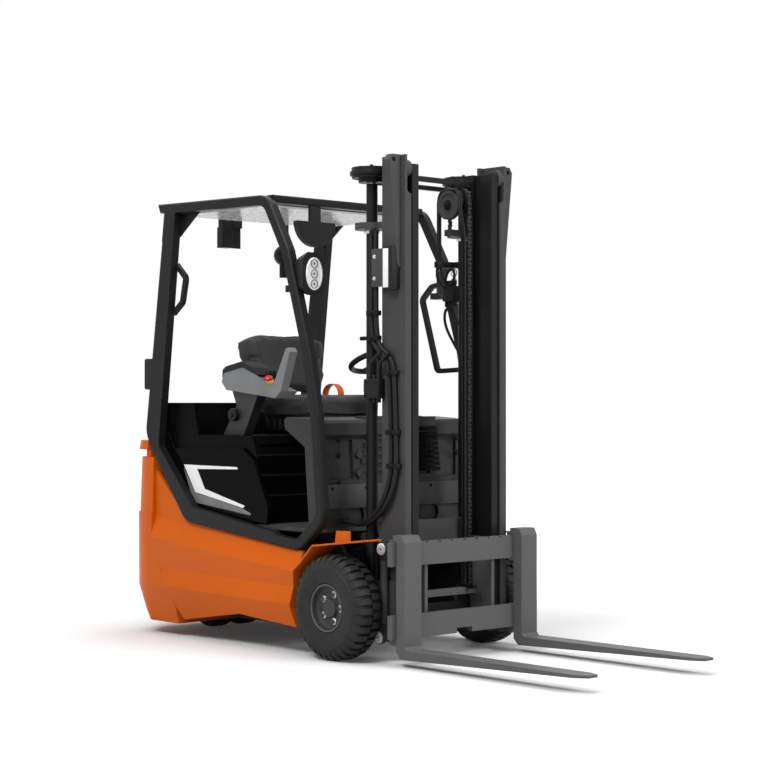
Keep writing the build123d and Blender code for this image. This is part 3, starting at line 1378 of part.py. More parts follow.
# Fork carriage
bar_rear = BAR_FRONT - BAR_THICK
plate_front = bar_rear
plate_rear = inner_rear + CHANNEL_FLANGE + 8
plate_top_z = UPPER_BAR_Z + BAR_HEIGHT - 6
with BuildPart() as fork_carriage:
    for bar_z in (LOWER_BAR_Z, UPPER_BAR_Z):
        with BuildSketch(Plane.XY.offset(bar_z)):
            with Locations((BAR_FRONT - BAR_THICK / 2, 0)):
                Rectangle(BAR_THICK, 2 * BAR_HALF)
        extrude(amount=BAR_HEIGHT)
    with BuildSketch(Plane.YZ.offset(BAR_FRONT)):
        with Locations((0, UPPER_BAR_Z + BAR_HEIGHT)):
            with GridLocations(BAR_NOTCH_PITCH, 0, 9, 1):
                Rectangle(BAR_NOTCH[0], 2 * BAR_NOTCH[1])
        with Locations((0, LOWER_BAR_Z)):
            Rectangle(BAR_RELIEF[0], 2 * BAR_RELIEF[1])
    extrude(amount=-BAR_THICK, mode=Mode.SUBTRACT)
    for side in (-1, 1):
        with BuildSketch(side_plane(side * (CARRIAGE_Y + CARRIAGE_PLATE))):
            with BuildLine():
                Polyline(
                    (plate_front, LOWER_BAR_Z + PLATE_INSET),
                    (plate_front, plate_top_z - PLATE_INSET),
                    (plate_front - PLATE_INSET, plate_top_z),
                    (plate_rear, plate_top_z),
                    (plate_rear, LOWER_BAR_Z + PLATE_INSET),
                    close=True,
                )
            make_face()
        extrude(amount=side * CARRIAGE_PLATE)
        for roller_z in (LOWER_BAR_Z + 85, plate_top_z - ROLLER_R):
            centre = ((MAST_FRONT + MAST_REAR) / 2, side * (CARRIAGE_Y + CARRIAGE_PLATE), roller_z)
            with BuildSketch(wheel_plane(*centre)):
                Circle(ROLLER_R - 10)
            extrude(amount=side * ROLLER_WIDTH)
    with BuildSketch(Plane.XY.offset(CHAIN_ANCHOR_Z)):
        with Locations((FRONT_RUN_X, 0)):
            Rectangle(30, 2 * CARRIAGE_Y)
    extrude(amount=-30)


def make_fork(y):
    """An L-shaped fork with hooks over the carriage bars and a tapered blade."""
    shank_rear = BAR_FRONT + FIT
    hook_back = bar_rear - 12
    lip = 14.0
    upper_edge = UPPER_BAR_Z + BAR_HEIGHT
    with BuildPart() as fork:
        with BuildSketch(side_plane(y - FORK_WIDTH / 2)):
            with BuildLine():
                Polyline(
                    (shank_rear, FORK_TOP_Z - FORK_THICK + HEEL_CUT),
                    (shank_rear + HEEL_CUT, FORK_TOP_Z - FORK_THICK),
                    (FORK_FACE_X + FORK_LENGTH, FORK_TOP_Z - FORK_TIP),
                    (FORK_FACE_X + FORK_LENGTH, FORK_TOP_Z),
                    (FORK_FACE_X + HEEL_CUT / 2, FORK_TOP_Z),
                    (FORK_FACE_X, FORK_TOP_Z + HEEL_CUT / 2),
                    (FORK_FACE_X, HOOK_TOP - 30),
                    (FORK_FACE_X - 16, HOOK_TOP),
                    (bar_rear + 8, HOOK_TOP),
                    (bar_rear + 8, HOOK_TOP - HOOK_STEP),
                    (hook_back, HOOK_TOP - HOOK_STEP),
                    (hook_back, upper_edge - lip),
                    (bar_rear - FIT, upper_edge - lip),
                    (bar_rear - FIT, upper_edge + FIT),
                    (shank_rear, upper_edge + FIT),
                    (shank_rear, LOWER_BAR_Z - FIT),
                    (bar_rear - FIT, LOWER_BAR_Z - FIT),
                    (bar_rear - FIT, LOWER_BAR_Z + lip),
                    (hook_back, LOWER_BAR_Z + lip),
                    (hook_back, LOWER_BAR_Z - 26),
                    (shank_rear, LOWER_BAR_Z - 26),
                    close=True,
                )
            make_face()
        extrude(amount=-FORK_WIDTH)
        with BuildSketch(Plane.XY):
            with BuildLine():
                Polyline(
                    (hook_back, y - FORK_WIDTH / 2),
                    (FORK_FACE_X + FORK_LENGTH - TIP_CUT_LENGTH, y - FORK_WIDTH / 2),
                    (FORK_FACE_X + FORK_LENGTH, y - FORK_WIDTH / 2 + TIP_CUT_WIDTH),
                    (FORK_FACE_X + FORK_LENGTH, y + FORK_WIDTH / 2 - TIP_CUT_WIDTH),
                    (FORK_FACE_X + FORK_LENGTH - TIP_CUT_LENGTH, y + FORK_WIDTH / 2),
                    (hook_back, y + FORK_WIDTH / 2),
                    close=True,
                )
            make_face()
        extrude(amount=HOOK_TOP, mode=Mode.INTERSECT)
    return fork.part


with BuildPart() as fork_right:
    add(make_fork(-FORK_Y))

with BuildPart() as fork_left:
    mirror(fork_right.part, about=Plane.XZ)

# Tilt cylinders between the front bulkhead and the outer mast
tilt_dir = Vector(TILT_FRONT[0] - TILT_REAR[0], 0, TILT_FRONT[1] - TILT_REAR[1])
tilt_length = tilt_dir.length
with BuildPart() as tilt_barrels:
    for side in (-1, 1):
        foot = Plane(
            origin=(TILT_REAR[0], side * TILT_Y, TILT_REAR[1]),
            x_dir=(0, 1, 0),
            z_dir=tilt_dir.normalized(),
        )
        with BuildSketch(foot.offset(CLEVIS_R + 10)):
            Circle(TILT_BARREL_R)
        extrude(amount=tilt_length * TILT_BARREL_SHARE - CLEVIS_R)
        with BuildSketch(foot.offset(0)):
            Circle(TILT_EYE_WIDTH / 2 - 2)
        extrude(amount=CLEVIS_R + 10)
        with BuildSketch(foot.offset(CLEVIS_R + 25)):
            Circle(TILT_ROD_R + 1)
        extrude(amount=tilt_length, mode=Mode.SUBTRACT)
        with BuildSketch(side_plane(side * TILT_Y + TILT_EYE_WIDTH / 2)):
            with Locations(TILT_REAR):
                Circle(TILT_PIN_R + 16)
        extrude(amount=TILT_EYE_WIDTH)
        with BuildSketch(side_plane(side * TILT_Y + TILT_EYE_WIDTH / 2)):
            with Locations(TILT_REAR):
                Circle(TILT_PIN_R + FIT)
        extrude(amount=TILT_EYE_WIDTH, mode=Mode.SUBTRACT)

with BuildPart() as tilt_rods:
    for side in (-1, 1):
        foot = Plane(
            origin=(TILT_REAR[0], side * TILT_Y, TILT_REAR[1]),
            x_dir=(0, 1, 0),
            z_dir=tilt_dir.normalized(),
        )
        with BuildSketch(foot.offset(90)):
            Circle(TILT_ROD_R)
        extrude(amount=tilt_length - 90 - TILT_PIN_R - TILT_EYE_CLEARANCE)
        with BuildSketch(side_plane(side * TILT_Y + TILT_EYE_WIDTH / 2)):
            with Locations(TILT_FRONT):
                Circle(TILT_PIN_R + TILT_EYE_CLEARANCE + 10)
                Circle(TILT_PIN_R + TILT_EYE_CLEARANCE, mode=Mode.SUBTRACT)
        extrude(amount=TILT_EYE_WIDTH)

pieces = {
    "front_tyre_right": front_tyre_right,
    "front_tyre_left": front_tyre_left,
    "front_rim_right": front_rim_right,
    "front_rim_left": front_rim_left,
    "rear_tyres": rear_tyres,
    "rear_hub": rear_hub,
    "steer_yoke": steer_yoke,
    "chassis": chassis,
    "drive_units": drive_units,
    "side_panel_right": side_panel_right,
    "side_panel_left": side_panel_left,
    "counterweight": counterweight,
    "guard_right": guard_right,
    "guard_left": guard_left,
    "guard_roof": guard_roof,
    "roof_panel": roof_panel,
    "floor_plate": floor_plate,
    "front_cowl": front_cowl,
    "battery_hood": battery_hood,
    "battery": battery,
    "side_cover_right": side_cover_right,
    "side_cover_left": side_cover_left,
    "side_accents": side_accents,
    "seat_base": seat_base,
    "seat_cushion": seat_cushion,
    "seat_back": seat_back,
    "armrest": armrest,
    "seat_belt": seat_belt,
    "steering_column": steering_column,
    "steering_wheel": steering_wheel,
    "pedals": pedals,
    "work_lights": work_lights,
    "lamp_lenses": lamp_lenses,
    "grab_handles": grab_handles,
    "mirror_bracket": mirror_bracket,
    "roof_fittings": roof_fittings,
    "rear_lamps": rear_lamps,
    "outer_mast": outer_mast,
    "lift_barrels": lift_barrels,
    "mast_caps": mast_caps,
    "inner_mast": inner_mast,
    "lift_rods": lift_rods,
    "chain_sheaves": chain_sheaves,
    "front_chains": front_chains,
    "rear_chains": rear_chains,
    "fork_carriage": fork_carriage,
    "fork_right": fork_right,
    "fork_left": fork_left,
    "tilt_barrels": tilt_barrels,
    "tilt_rods": tilt_rods,
}
for label, piece in pieces.items():
    piece.part.label = label
    export_step(piece.part, f"parts/{label}.step")
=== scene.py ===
import json
import math

import bmesh
import bpy
from mathutils import Matrix, Vector


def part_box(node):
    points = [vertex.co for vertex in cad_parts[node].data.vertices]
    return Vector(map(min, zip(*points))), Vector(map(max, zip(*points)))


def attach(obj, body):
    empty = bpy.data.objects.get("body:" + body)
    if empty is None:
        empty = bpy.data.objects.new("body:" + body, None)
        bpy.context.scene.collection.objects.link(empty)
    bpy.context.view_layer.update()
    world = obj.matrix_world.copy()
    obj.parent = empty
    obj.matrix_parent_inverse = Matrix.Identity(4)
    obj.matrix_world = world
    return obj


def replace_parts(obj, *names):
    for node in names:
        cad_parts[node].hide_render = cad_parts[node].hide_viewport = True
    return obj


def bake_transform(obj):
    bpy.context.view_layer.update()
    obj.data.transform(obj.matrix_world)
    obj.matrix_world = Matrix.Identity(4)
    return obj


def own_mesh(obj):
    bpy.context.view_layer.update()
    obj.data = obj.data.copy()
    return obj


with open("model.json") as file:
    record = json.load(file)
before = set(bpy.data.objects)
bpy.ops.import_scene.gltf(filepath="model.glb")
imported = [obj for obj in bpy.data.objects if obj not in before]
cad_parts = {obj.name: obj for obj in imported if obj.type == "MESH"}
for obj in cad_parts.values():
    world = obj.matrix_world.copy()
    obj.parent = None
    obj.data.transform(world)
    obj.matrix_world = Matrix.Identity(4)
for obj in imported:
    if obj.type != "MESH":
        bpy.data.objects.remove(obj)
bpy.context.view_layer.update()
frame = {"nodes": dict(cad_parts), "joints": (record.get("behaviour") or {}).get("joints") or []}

NODES = frame["nodes"]
SCENE = bpy.context.scene
JOINTS = {joint["name"]: joint for joint in frame["joints"]}
AXLE = JOINTS["front_right_roll"]["pos_m"][0]

# Camera, fitted to the photograph's 768 x 768 frame
CAMERA_AT = (6.2286, -5.8188, 1.1117)
CAMERA_AZIMUTH = 47.418
CAMERA_PITCH = 0.571
FOCAL_PIXELS = 1884.1
FRAME_PIXELS = 768.0
SENSOR_WIDTH = 36.0

# Colours, linear
ORANGE = (0.50, 0.090, 0.0035)
GUARD_BLACK = (0.0085, 0.0085, 0.009)
MAST_GREY = (0.041, 0.041, 0.042)
FORK_GREY = (0.078, 0.078, 0.079)
FRAME_BLACK = (0.006, 0.006, 0.0065)
PLASTIC_BLACK = (0.010, 0.010, 0.0105)
HOOD_BLACK = (0.0018, 0.0018, 0.0019)
GLOSS_BLACK = (0.0016, 0.0016, 0.0017)
TRIM_WHITE = (0.70, 0.70, 0.71)
ARM_GREY = (0.13, 0.135, 0.138)
MAT_GREY = (0.034, 0.034, 0.035)
COWL_GREY = (0.022, 0.022, 0.0225)
SEAT_BLACK = (0.022, 0.022, 0.024)
BELT_ORANGE = (0.60, 0.10, 0.010)
RUBBER = (0.018, 0.018, 0.0185)
RIM_GREY = (0.030, 0.030, 0.029)
CHROME = (0.62, 0.62, 0.64)
CHAIN_METAL = (0.085, 0.075, 0.066)
BRIGHT_STEEL = (0.66, 0.66, 0.67)
HOSE_BLACK = (0.005, 0.005, 0.0055)
CAP_WHITE = (0.78, 0.78, 0.77)
STOP_RED = (0.55, 0.012, 0.012)
STOP_YELLOW = (0.70, 0.42, 0.02)

# Wheels, chains and carriage, sizes in metres
NUT_FACE = 0.037  # wheel disc, outwards from the wheel's middle plane
NUT_CIRCLE_R = 0.060
NUT_COUNT = 5
TYRE_BORE_GAP = 0.0003
FRONT_LUGS = 34
REAR_LUGS = 28
TREAD_DEPTH = 0.015
REAR_TYRE_WIDTH = 0.115
REAR_RIM_R = 0.102
CHAIN_PITCH = 0.01905
CHAIN_WIDTH = 0.022
CHAIN_PIN_HALF = 0.0108
CHAIN_PIN_R = 0.0028
CHAIN_PLATE_HALF = 0.0015
WRAP_LINKS = 10
BAR_BOLT_INSET = 0.022  # back from the carriage's front

# Mast and armrest, in metres
HEAD_BOLT_CIRCLE_R = 0.050
MAST_HALF = 0.311
HOSE_R = 0.011
LIFT_Y = 0.283
BRACKET_Z = 1.867
SHEAVE_Z = 2.020
ARM_Y = -0.340
ARM_SLOPE = 0.1105  # the tray's underside falls towards the front
ARM_LEVEL = 1.130 + ARM_SLOPE * (AXLE - 0.5)

# Seat pads, sizes in metres
PAD_INSET = 0.010
PAD_VOXEL = 0.006
PAD_PRESSURE = 4.0
PAD_FRAMES = 20
BACK_SWELL = 0.014
CUSHION_SWELL = 0.012
SEAM_WIDTH = 0.007
CUSHION_SEAM_Y = 0.150

# Hose pulley, trim, lamps and hand wheel, sizes in metres
PULLEY_HOSE_R = 0.0065
HOSE_RUN_Y = 0.1575  # between the chain and the clear view through the mast
COVER_FACE = 0.456
HOOD_STEP = 0.012
LAMP_WIDTH = 0.110
LAMP_HEIGHT = 0.190
LENS_HALF_Y = LAMP_WIDTH * 0.41
LENS_HALF_Z = LAMP_HEIGHT * 0.38
LENS_STEPS = 48
KNOB_CIRCLE_R = 0.150
PULLEY_TURN_R = 0.066
PULLEY_HOSE_LENGTH = 1.700

# Floor and background, and the lights in watts
FLOOR_LIT = 1.3
FLOOR_WHITE = 3.8
FLOOR_SIZE = 40.0
FLOOR_TONE = 0.62
FLOOR_GLOW_NEAR = 0.035
FLOOR_GLOW_FAR = 0.85
WORLD_FILL = 0.32
WORLD_SEEN = 1.0
KEY_POWER = 560
FRONT_POWER = 440
TOP_POWER = 420


# Materials
def new_material(name):
    """A node material with its principled shader, ready to be wired."""
    material = bpy.data.materials.new(name)
    material.use_nodes = True
    shader = material.node_tree.nodes["Principled BSDF"]
    return material, material.node_tree.nodes, material.node_tree.links, shader


def object_coordinates(nodes):
    return nodes.new("ShaderNodeTexCoord").outputs["Object"]


def noise(nodes, links, scale, detail=4.0, rough=0.5):
    texture = nodes.new("ShaderNodeTexNoise")
    texture.inputs["Scale"].default_value = scale
    texture.inputs["Detail"].default_value = detail
    texture.inputs["Roughness"].default_value = rough
    links.new(object_coordinates(nodes), texture.inputs["Vector"])
    return texture.outputs["Fac"]


def ramp(nodes, links, source, low, high, stops=(0.3, 0.7)):
    """Maps a factor onto two colours."""
    node = nodes.new("ShaderNodeValToRGB")
    node.color_ramp.elements[0].position = stops[0]
    node.color_ramp.elements[1].position = stops[1]
    node.color_ramp.elements[0].color = (*low, 1)
    node.color_ramp.elements[1].color = (*high, 1)
    links.new(source, node.inputs["Fac"])
    return node.outputs["Color"]


def spread(nodes, links, source, low, high):
    """Maps a factor from 0..1 onto low..high."""
    node = nodes.new("ShaderNodeMapRange")
    node.inputs["To Min"].default_value = low
    node.inputs["To Max"].default_value = high
    links.new(source, node.inputs["Value"])
    return node.outputs["Result"]


def rounding(nodes, radius):
    """A normal that turns softly over the edges of the solid."""
    node = nodes.new("ShaderNodeBevel")
    node.samples = 4
    node.inputs["Radius"].default_value = radius
    return node.outputs["Normal"]


def bump(nodes, links, shader, height, strength, distance, edge=0.0):
    node = nodes.new("ShaderNodeBump")
    node.inputs["Strength"].default_value = strength
    node.inputs["Distance"].default_value = distance
    links.new(height, node.inputs["Height"])
    if edge:
        links.new(rounding(nodes, edge), node.inputs["Normal"])
    links.new(node.outputs["Normal"], shader.inputs["Normal"])


def tinted(colour, factor):
    return tuple(c * factor for c in colour)


def paint(name, colour, rough, peel=0.05, specular=0.5, vary=0.1, edge=0.003):
    """Satin paint: slight orange peel and a faint change of tone and gloss."""
    material, nodes, links, shader = new_material(name)
    wide = noise(nodes, links, 3.0, 5.0)
    tone = ramp(nodes, links, wide, tinted(colour, 1 - vary), tinted(colour, 1 + vary))
    links.new(tone, shader.inputs["Base Color"])
    links.new(spread(nodes, links, noise(nodes, links, 22.0, 6.0), rough - 0.06, rough + 0.06),
              shader.inputs["Roughness"])
    shader.inputs["Specular IOR Level"].default_value = specular
    bump(nodes, links, shader, noise(nodes, links, 420.0, 2.0), peel, 0.0006, edge)
    return material


def moulded(name, colour, rough, grain=900.0, depth=0.22, specular=0.4, edge=0.003):
    """Grained moulded plastic."""
    material, nodes, links, shader = new_material(name)
    tone = ramp(nodes, links, noise(nodes, links, 5.0), tinted(colour, 0.85), tinted(colour, 1.18))
    links.new(tone, shader.inputs["Base Color"])
    cells = nodes.new("ShaderNodeTexVoronoi")
    cells.inputs["Scale"].default_value = grain
    links.new(object_coordinates(nodes), cells.inputs["Vector"])
    links.new(spread(nodes, links, noise(nodes, links, 30.0), rough - 0.07, rough + 0.07),
              shader.inputs["Roughness"])
    shader.inputs["Specular IOR Level"].default_value = specular
    bump(nodes, links, shader, cells.outputs["Distance"], depth, 0.0005, edge)
    return material


def two_tone(name, upper, lower, rough, slope, level):
    """Grained plastic in one colour above a sloping plane and another below it."""
    material = moulded(name, upper, rough, edge=0.006)
    nodes = material.node_tree.nodes
    links = material.node_tree.links
    shader = nodes["Principled BSDF"]
    above = nodes.new("ShaderNodeVectorMath")
    above.operation = "DOT_PRODUCT"
    above.inputs[1].default_value = (slope, 0, 1)
    links.new(object_coordinates(nodes), above.inputs[0])
    switch = nodes.new("ShaderNodeMath")
    switch.operation = "GREATER_THAN"
    switch.inputs[1].default_value = level
    links.new(above.outputs["Value"], switch.inputs[0])
    mix = nodes.new("ShaderNodeMix")
    mix.data_type = "RGBA"
    links.new(switch.outputs["Value"], mix.inputs["Factor"])
    mix.inputs["A"].default_value = (*lower, 1)
    links.new(shader.inputs["Base Color"].links[0].from_socket, mix.inputs["B"])
    links.new(mix.outputs["Result"], shader.inputs["Base Color"])
    return material


def metal(name, colour, rough, scratch=160.0):
    """Bare metal with fine wear."""
    material, nodes, links, shader = new_material(name)
    tone = ramp(nodes, links, noise(nodes, links, 18.0), tinted(colour, 0.8), tinted(colour, 1.1))
    links.new(tone, shader.inputs["Base Color"])
    shader.inputs["Metallic"].default_value = 1.0
    links.new(spread(nodes, links, noise(nodes, links, scratch, 8.0), rough - 0.06, rough + 0.1),
              shader.inputs["Roughness"])
    bump(nodes, links, shader, noise(nodes, links, scratch * 2, 3.0), 0.05, 0.0004, 0.001)
    return material


def rubber(name, colour, specular=0.14):
    material, nodes, links, shader = new_material(name)
    tone = ramp(nodes, links, noise(nodes, links, 14.0, 8.0), tinted(colour, 0.8), tinted(colour, 1.25))
    links.new(tone, shader.inputs["Base Color"])
    links.new(spread(nodes, links, noise(nodes, links, 60.0, 6.0), 0.48, 0.68), shader.inputs["Roughness"])
    shader.inputs["Specular IOR Level"].default_value = specular
    bump(nodes, links, shader, noise(nodes, links, 380.0, 8.0), 0.18, 0.0008, 0.002)
    return material


def woven(name, colour, scale=520.0):
    """Close woven fabric: two crossed wave textures make the threads."""
    material, nodes, links, shader = new_material(name)
    coordinates = object_coordinates(nodes)
    threads = []
    for direction in ("X", "Z"):
        wave = nodes.new("ShaderNodeTexWave")
        wave.bands_direction = direction
        wave.inputs["Scale"].default_value = scale
        wave.inputs["Distortion"].default_value = 1.2
        links.new(coordinates, wave.inputs["Vector"])
        threads.append(wave.outputs["Fac"])
    product = nodes.new("ShaderNodeMath")
    product.operation = "MULTIPLY"
    links.new(threads[0], product.inputs[0])
    links.new(threads[1], product.inputs[1])
    tone = ramp(nodes, links, product.outputs["Value"], tinted(colour, 0.7), tinted(colour, 1.5), (0.1, 0.9))
    links.new(tone, shader.inputs["Base Color"])
    shader.inputs["Roughness"].default_value = 0.8
    shader.inputs["Specular IOR Level"].default_value = 0.3
    shader.inputs["Sheen Weight"].default_value = 0.12
    bump(nodes, links, shader, product.outputs["Value"], 0.25, 0.0005)
    return material


def glass(name, colour, rough, alpha):
    material, nodes, links, shader = new_material(name)
    tone = ramp(nodes, links, noise(nodes, links, 6.0), tinted(colour, 0.96), colour)
    links.new(tone, shader.inputs["Base Color"])
    links.new(spread(nodes, links, noise(nodes, links, 40.0), rough, rough + 0.05),
              shader.inputs["Roughness"])
    shader.inputs["Alpha"].default_value = alpha
    shader.inputs["IOR"].default_value = 1.5
    return material


MATERIALS = {
    "orange": paint("orange_paint", ORANGE, 0.34, peel=0.03, specular=0.09, vary=0.03, edge=0.006),
    "guard": paint("guard_paint", GUARD_BLACK, 0.40, specular=0.12, vary=0.08, edge=0.006),
    "frame": paint("frame_paint", FRAME_BLACK, 0.5, specular=0.10),
    "mast": paint("mast_paint", MAST_GREY, 0.46, specular=0.14, vary=0.08),
    "fork": paint("fork_paint", FORK_GREY, 0.48, specular=0.16, vary=0.06, edge=0.004),
    "rim": paint("rim_paint", RIM_GREY, 0.45, specular=0.2, vary=0.08, edge=0.002),
    "plastic": moulded("black_plastic", PLASTIC_BLACK, 0.44, specular=0.13),
    "hood": moulded("hood_plastic", HOOD_BLACK, 0.3, depth=0.08, specular=0.03, edge=0.005),
    "gloss": paint("gloss_black", GLOSS_BLACK, 0.14, peel=0.012, specular=0.035, vary=0.05, edge=0.005),
    "white": paint("white_trim", TRIM_WHITE, 0.32, vary=0.03, edge=0.001),
    "cap": paint("white_caps", CAP_WHITE, 0.4, vary=0.03, edge=0.001),
    "cowl": moulded("cowl_plastic", COWL_GREY, 0.4, specular=0.16, edge=0.005),
    "mat": rubber("floor_mat", MAT_GREY),
    "arm": two_tone("armrest_plastic", ARM_GREY, PLASTIC_BLACK, 0.5, ARM_SLOPE, ARM_LEVEL),
    "grey": moulded("grey_plastic", ARM_GREY, 0.5, edge=0.006),
    "seat": woven("seat_fabric", SEAT_BLACK),
    "belt": woven("belt_webbing", BELT_ORANGE, 380.0),
    "rubber": rubber("tyre_rubber", RUBBER),
    "hose": rubber("hose_rubber", HOSE_BLACK, 0.2),
    "chrome": metal("rod_chrome", CHROME, 0.16),
    "chain": metal("chain_steel", CHAIN_METAL, 0.38),
    "steel": metal("bright_steel", BRIGHT_STEEL, 0.26),
    "red": moulded("stop_red", STOP_RED, 0.35),
    "yellow": moulded("stop_yellow", STOP_YELLOW, 0.4),
    "glass": glass("roof_glass", (0.72, 0.73, 0.74), 0.15, 0.62),
    "lens": glass("lamp_lens", (0.95, 0.95, 0.95), 0.05, 0.12),
}

NODE_MATERIALS = {
    "orange": ("side_panel_right", "side_panel_left", "counterweight"),
    "guard": ("guard_right", "guard_left", "guard_roof", "lift_barrels", "inner_mast", "chain_sheaves",
              "tilt_barrels"),
    "frame": ("chassis", "drive_units", "steer_yoke", "battery"),
    "rim": ("rear_hub", "front_rim_right", "front_rim_left"),
    "mast": ("outer_mast", "mast_caps"),
    "fork": ("fork_carriage", "fork_right", "fork_left"),
    "mat": ("floor_plate",),
    "cowl": ("front_cowl",),
    "plastic": ("seat_base", "steering_column", "pedals", "work_lights",
                "grab_handles", "mirror_bracket", "roof_fittings", "rear_lamps", "steering_wheel"),
    "hood": ("battery_hood",),
    "gloss": ("side_cover_right", "side_cover_left"),
    "white": ("side_accents",),
    "arm": ("armrest",),
    "seat": ("seat_cushion", "seat_back"),
    "belt": ("seat_belt",),
    "rubber": ("rear_tyres", "front_tyre_right", "front_tyre_left"),
    "chrome": ("lift_rods", "tilt_rods"),
    "chain": ("rear_chains", "front_chains"),
    "glass": ("roof_panel",),
    "lens": ("lamp_lenses",),
}
for key, names in NODE_MATERIALS.items():
    for name in names:
        node = NODES[name]
        node.data.materials.clear()
        node.data.materials.append(MATERIALS[key])


# Mesh helpers
def spot(x, y, z):
    """A point given from the front axle, in metres."""
    return Vector((AXLE + x, y, z))


def add_box(bm, low, high, edge=0.0, turn=None):
    """A block between two corners, with rounded edges."""
    low = Vector(low)
    high = Vector(high)
    size = high - low
    made = bmesh.ops.create_cube(bm, size=1.0)["verts"]
    place = Matrix.Translation((low + high) / 2) @ (turn or Matrix()) @ Matrix.Diagonal((*size, 1))
    bmesh.ops.transform(bm, matrix=place, verts=made)
    if edge:
        edges = list({e for v in made for e in v.link_edges})
        bmesh.ops.bevel(bm, geom=edges, offset=edge, segments=2, profile=0.5, affect="EDGES")


def add_rod(bm, start, end, radius, segments=24, edge=0.0, radius_end=None):
    """A round bar from one point to another; 6 segments make a hexagon."""
    start = Vector(start)
    end = Vector(end)
    axis = end - start
    place = Matrix.Translation((start + end) / 2) @ axis.to_track_quat("Z", "Y").to_matrix().to_4x4()
    made = bmesh.ops.create_cone(bm, cap_ends=True, segments=segments, radius1=radius,
                                 radius2=radius if radius_end is None else radius_end,
                                 depth=axis.length, matrix=place)["verts"]
    if edge:
        faces = {f for v in made for f in v.link_faces if len(f.verts) == segments}
        rims = list({e for f in faces for e in f.edges})
        bmesh.ops.bevel(bm, geom=rims, offset=edge, segments=2, profile=0.5, affect="EDGES")


def add_bolt(bm, at, axis, size, washer=True):
    """A hexagon head on its washer, pointing along axis."""
    at = Vector(at)
    axis = Vector(axis).normalized()
    if washer:
        add_rod(bm, at, at + axis * size * 0.18, size * 0.72, 20)
    add_rod(bm, at + axis * size * 0.1, at + axis * size * 0.62, size * 0.5, 6, size * 0.05)


def add_lathe(bm, profile, origin, axis, segments=64, closed=False):
    """Turns pairs of radius and height round an axis."""
    turn = Vector(axis).to_track_quat("Z", "Y").to_matrix()
    rings = []
    for radius, along in profile:
        ring = []
        for i in range(segments):
            angle = 2 * math.pi * i / segments
            corner = Vector((radius * math.cos(angle), radius * math.sin(angle), along))
            ring.append(bm.verts.new(Vector(origin) + turn @ corner))
        rings.append(ring)
    pairs = list(zip(rings, rings[1:]))
    if closed:
        pairs.append((rings[-1], rings[0]))
    for ring, after in pairs:
        for i in range(segments):
            j = (i + 1) % segments
            bm.faces.new((ring[i], ring[j], after[j], after[i]))
    if not closed:
        bm.faces.new(rings[0])
        bm.faces.new(rings[-1])


def add_plate(bm, outline, near, far):
    """A flat plate from pairs of x and z, between two places along y."""
    ends = [[bm.verts.new(spot(x, y, z)) for x, z in outline] for y in (near, far)]
    bm.faces.new(ends[0])
    bm.faces.new(ends[1])
    for i in range(len(outline)):
        j = (i + 1) % len(outline)
        bm.faces.new((ends[0][i], ends[0][j], ends[1][j], ends[1][i]))


def make_piece(name, bm, material, body, angle=32.0):
    """Turns built faces into a piece that rides on a body."""
    bmesh.ops.recalc_face_normals(bm, faces=bm.faces)
    mesh = bpy.data.meshes.new(name)
    bm.to_mesh(mesh)
    bm.free()
    mesh.materials.append(MATERIALS[material])
    mesh.polygons.foreach_set("use_smooth", [True] * len(mesh.polygons))
    mesh.set_sharp_from_angle(angle=math.radians(angle))
    piece = bpy.data.objects.new(name, mesh)
    SCENE.collection.objects.link(piece)
    if body:
        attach(piece, body)
    return piece


def tube(name, points, radius, material, body):
    """A smooth hose along its control points."""
    curve = bpy.data.curves.new(name + "_line", "CURVE")
    curve.dimensions = "3D"
    spline = curve.splines.new("NURBS")
    spline.points.add(len(points) - 1)
    for point, place in zip(spline.points, points):
        point.co = (*place, 1)
    spline.order_u = 3
    spline.use_endpoint_u = True
    curve.resolution_u = 8
    curve.bevel_depth = radius
    curve.bevel_resolution = 3
    curve.use_fill_caps = True
    holder = bpy.data.objects.new(name + "_line", curve)
    mesh = bpy.data.meshes.new_from_object(holder)
    bpy.data.objects.remove(holder)
    bpy.data.curves.remove(curve)
    bm = bmesh.new()
    bm.from_mesh(mesh)
    bpy.data.meshes.remove(mesh)
    return make_piece(name, bm, material, body, 50.0)


# Tyres: carcass with sidewall rings, and staggered shoulder lugs
def add_tyre(bm, centre, radius, bore, width, lugs):
    half = width / 2
    tread = radius - TREAD_DEPTH
    side = (
        (bore, 0.80 * half),
        (bore + 0.006, 0.90 * half),
        (bore + 0.020, 0.93 * half),
        (0.62 * radius, 0.985 * half),
        (0.70 * radius, 1.0 * half),
        (0.78 * radius, 0.99 * half),
        (0.795 * radius, 0.955 * half),
        (0.86 * radius, 0.88 * half),
        (tread, 0.70 * half),
    )
    profile = [(r, -y) for r, y in side] + [(r, y) for r, y in reversed(side)]
    add_lathe(bm, profile, centre, (0, 1, 0), 96, closed=True)
    block = (
        (0.04 * half, tread - 0.004),
        (0.04 * half, radius - 0.001),
        (0.42 * half, radius - 0.0005),
        (0.64 * half, radius - 0.005),
        (0.80 * half, radius - 0.016),
        (0.93 * half, 0.845 * radius),
        (0.93 * half, 0.80 * radius),
        (0.80 * half, 0.83 * radius),
    )
    pitch = 2 * math.pi / lugs
    for sign, shift in ((-1, 0.0), (1, 0.5)):
        for i in range(lugs):
            middle = (i + shift) * pitch
            ends = []
            for turn in (middle - 0.31 * pitch, middle + 0.31 * pitch):
                ends.append([bm.verts.new((centre[0] + r * math.cos(turn), centre[1] + sign * y,
                                           centre[2] + r * math.sin(turn))) for y, r in block])
            bm.faces.new(ends[0])
            bm.faces.new(ends[1])
            for k in range(len(block)):
                after = (k + 1) % len(block)
                bm.faces.new((ends[0][k], ends[0][after], ends[1][after], ends[1][k]))


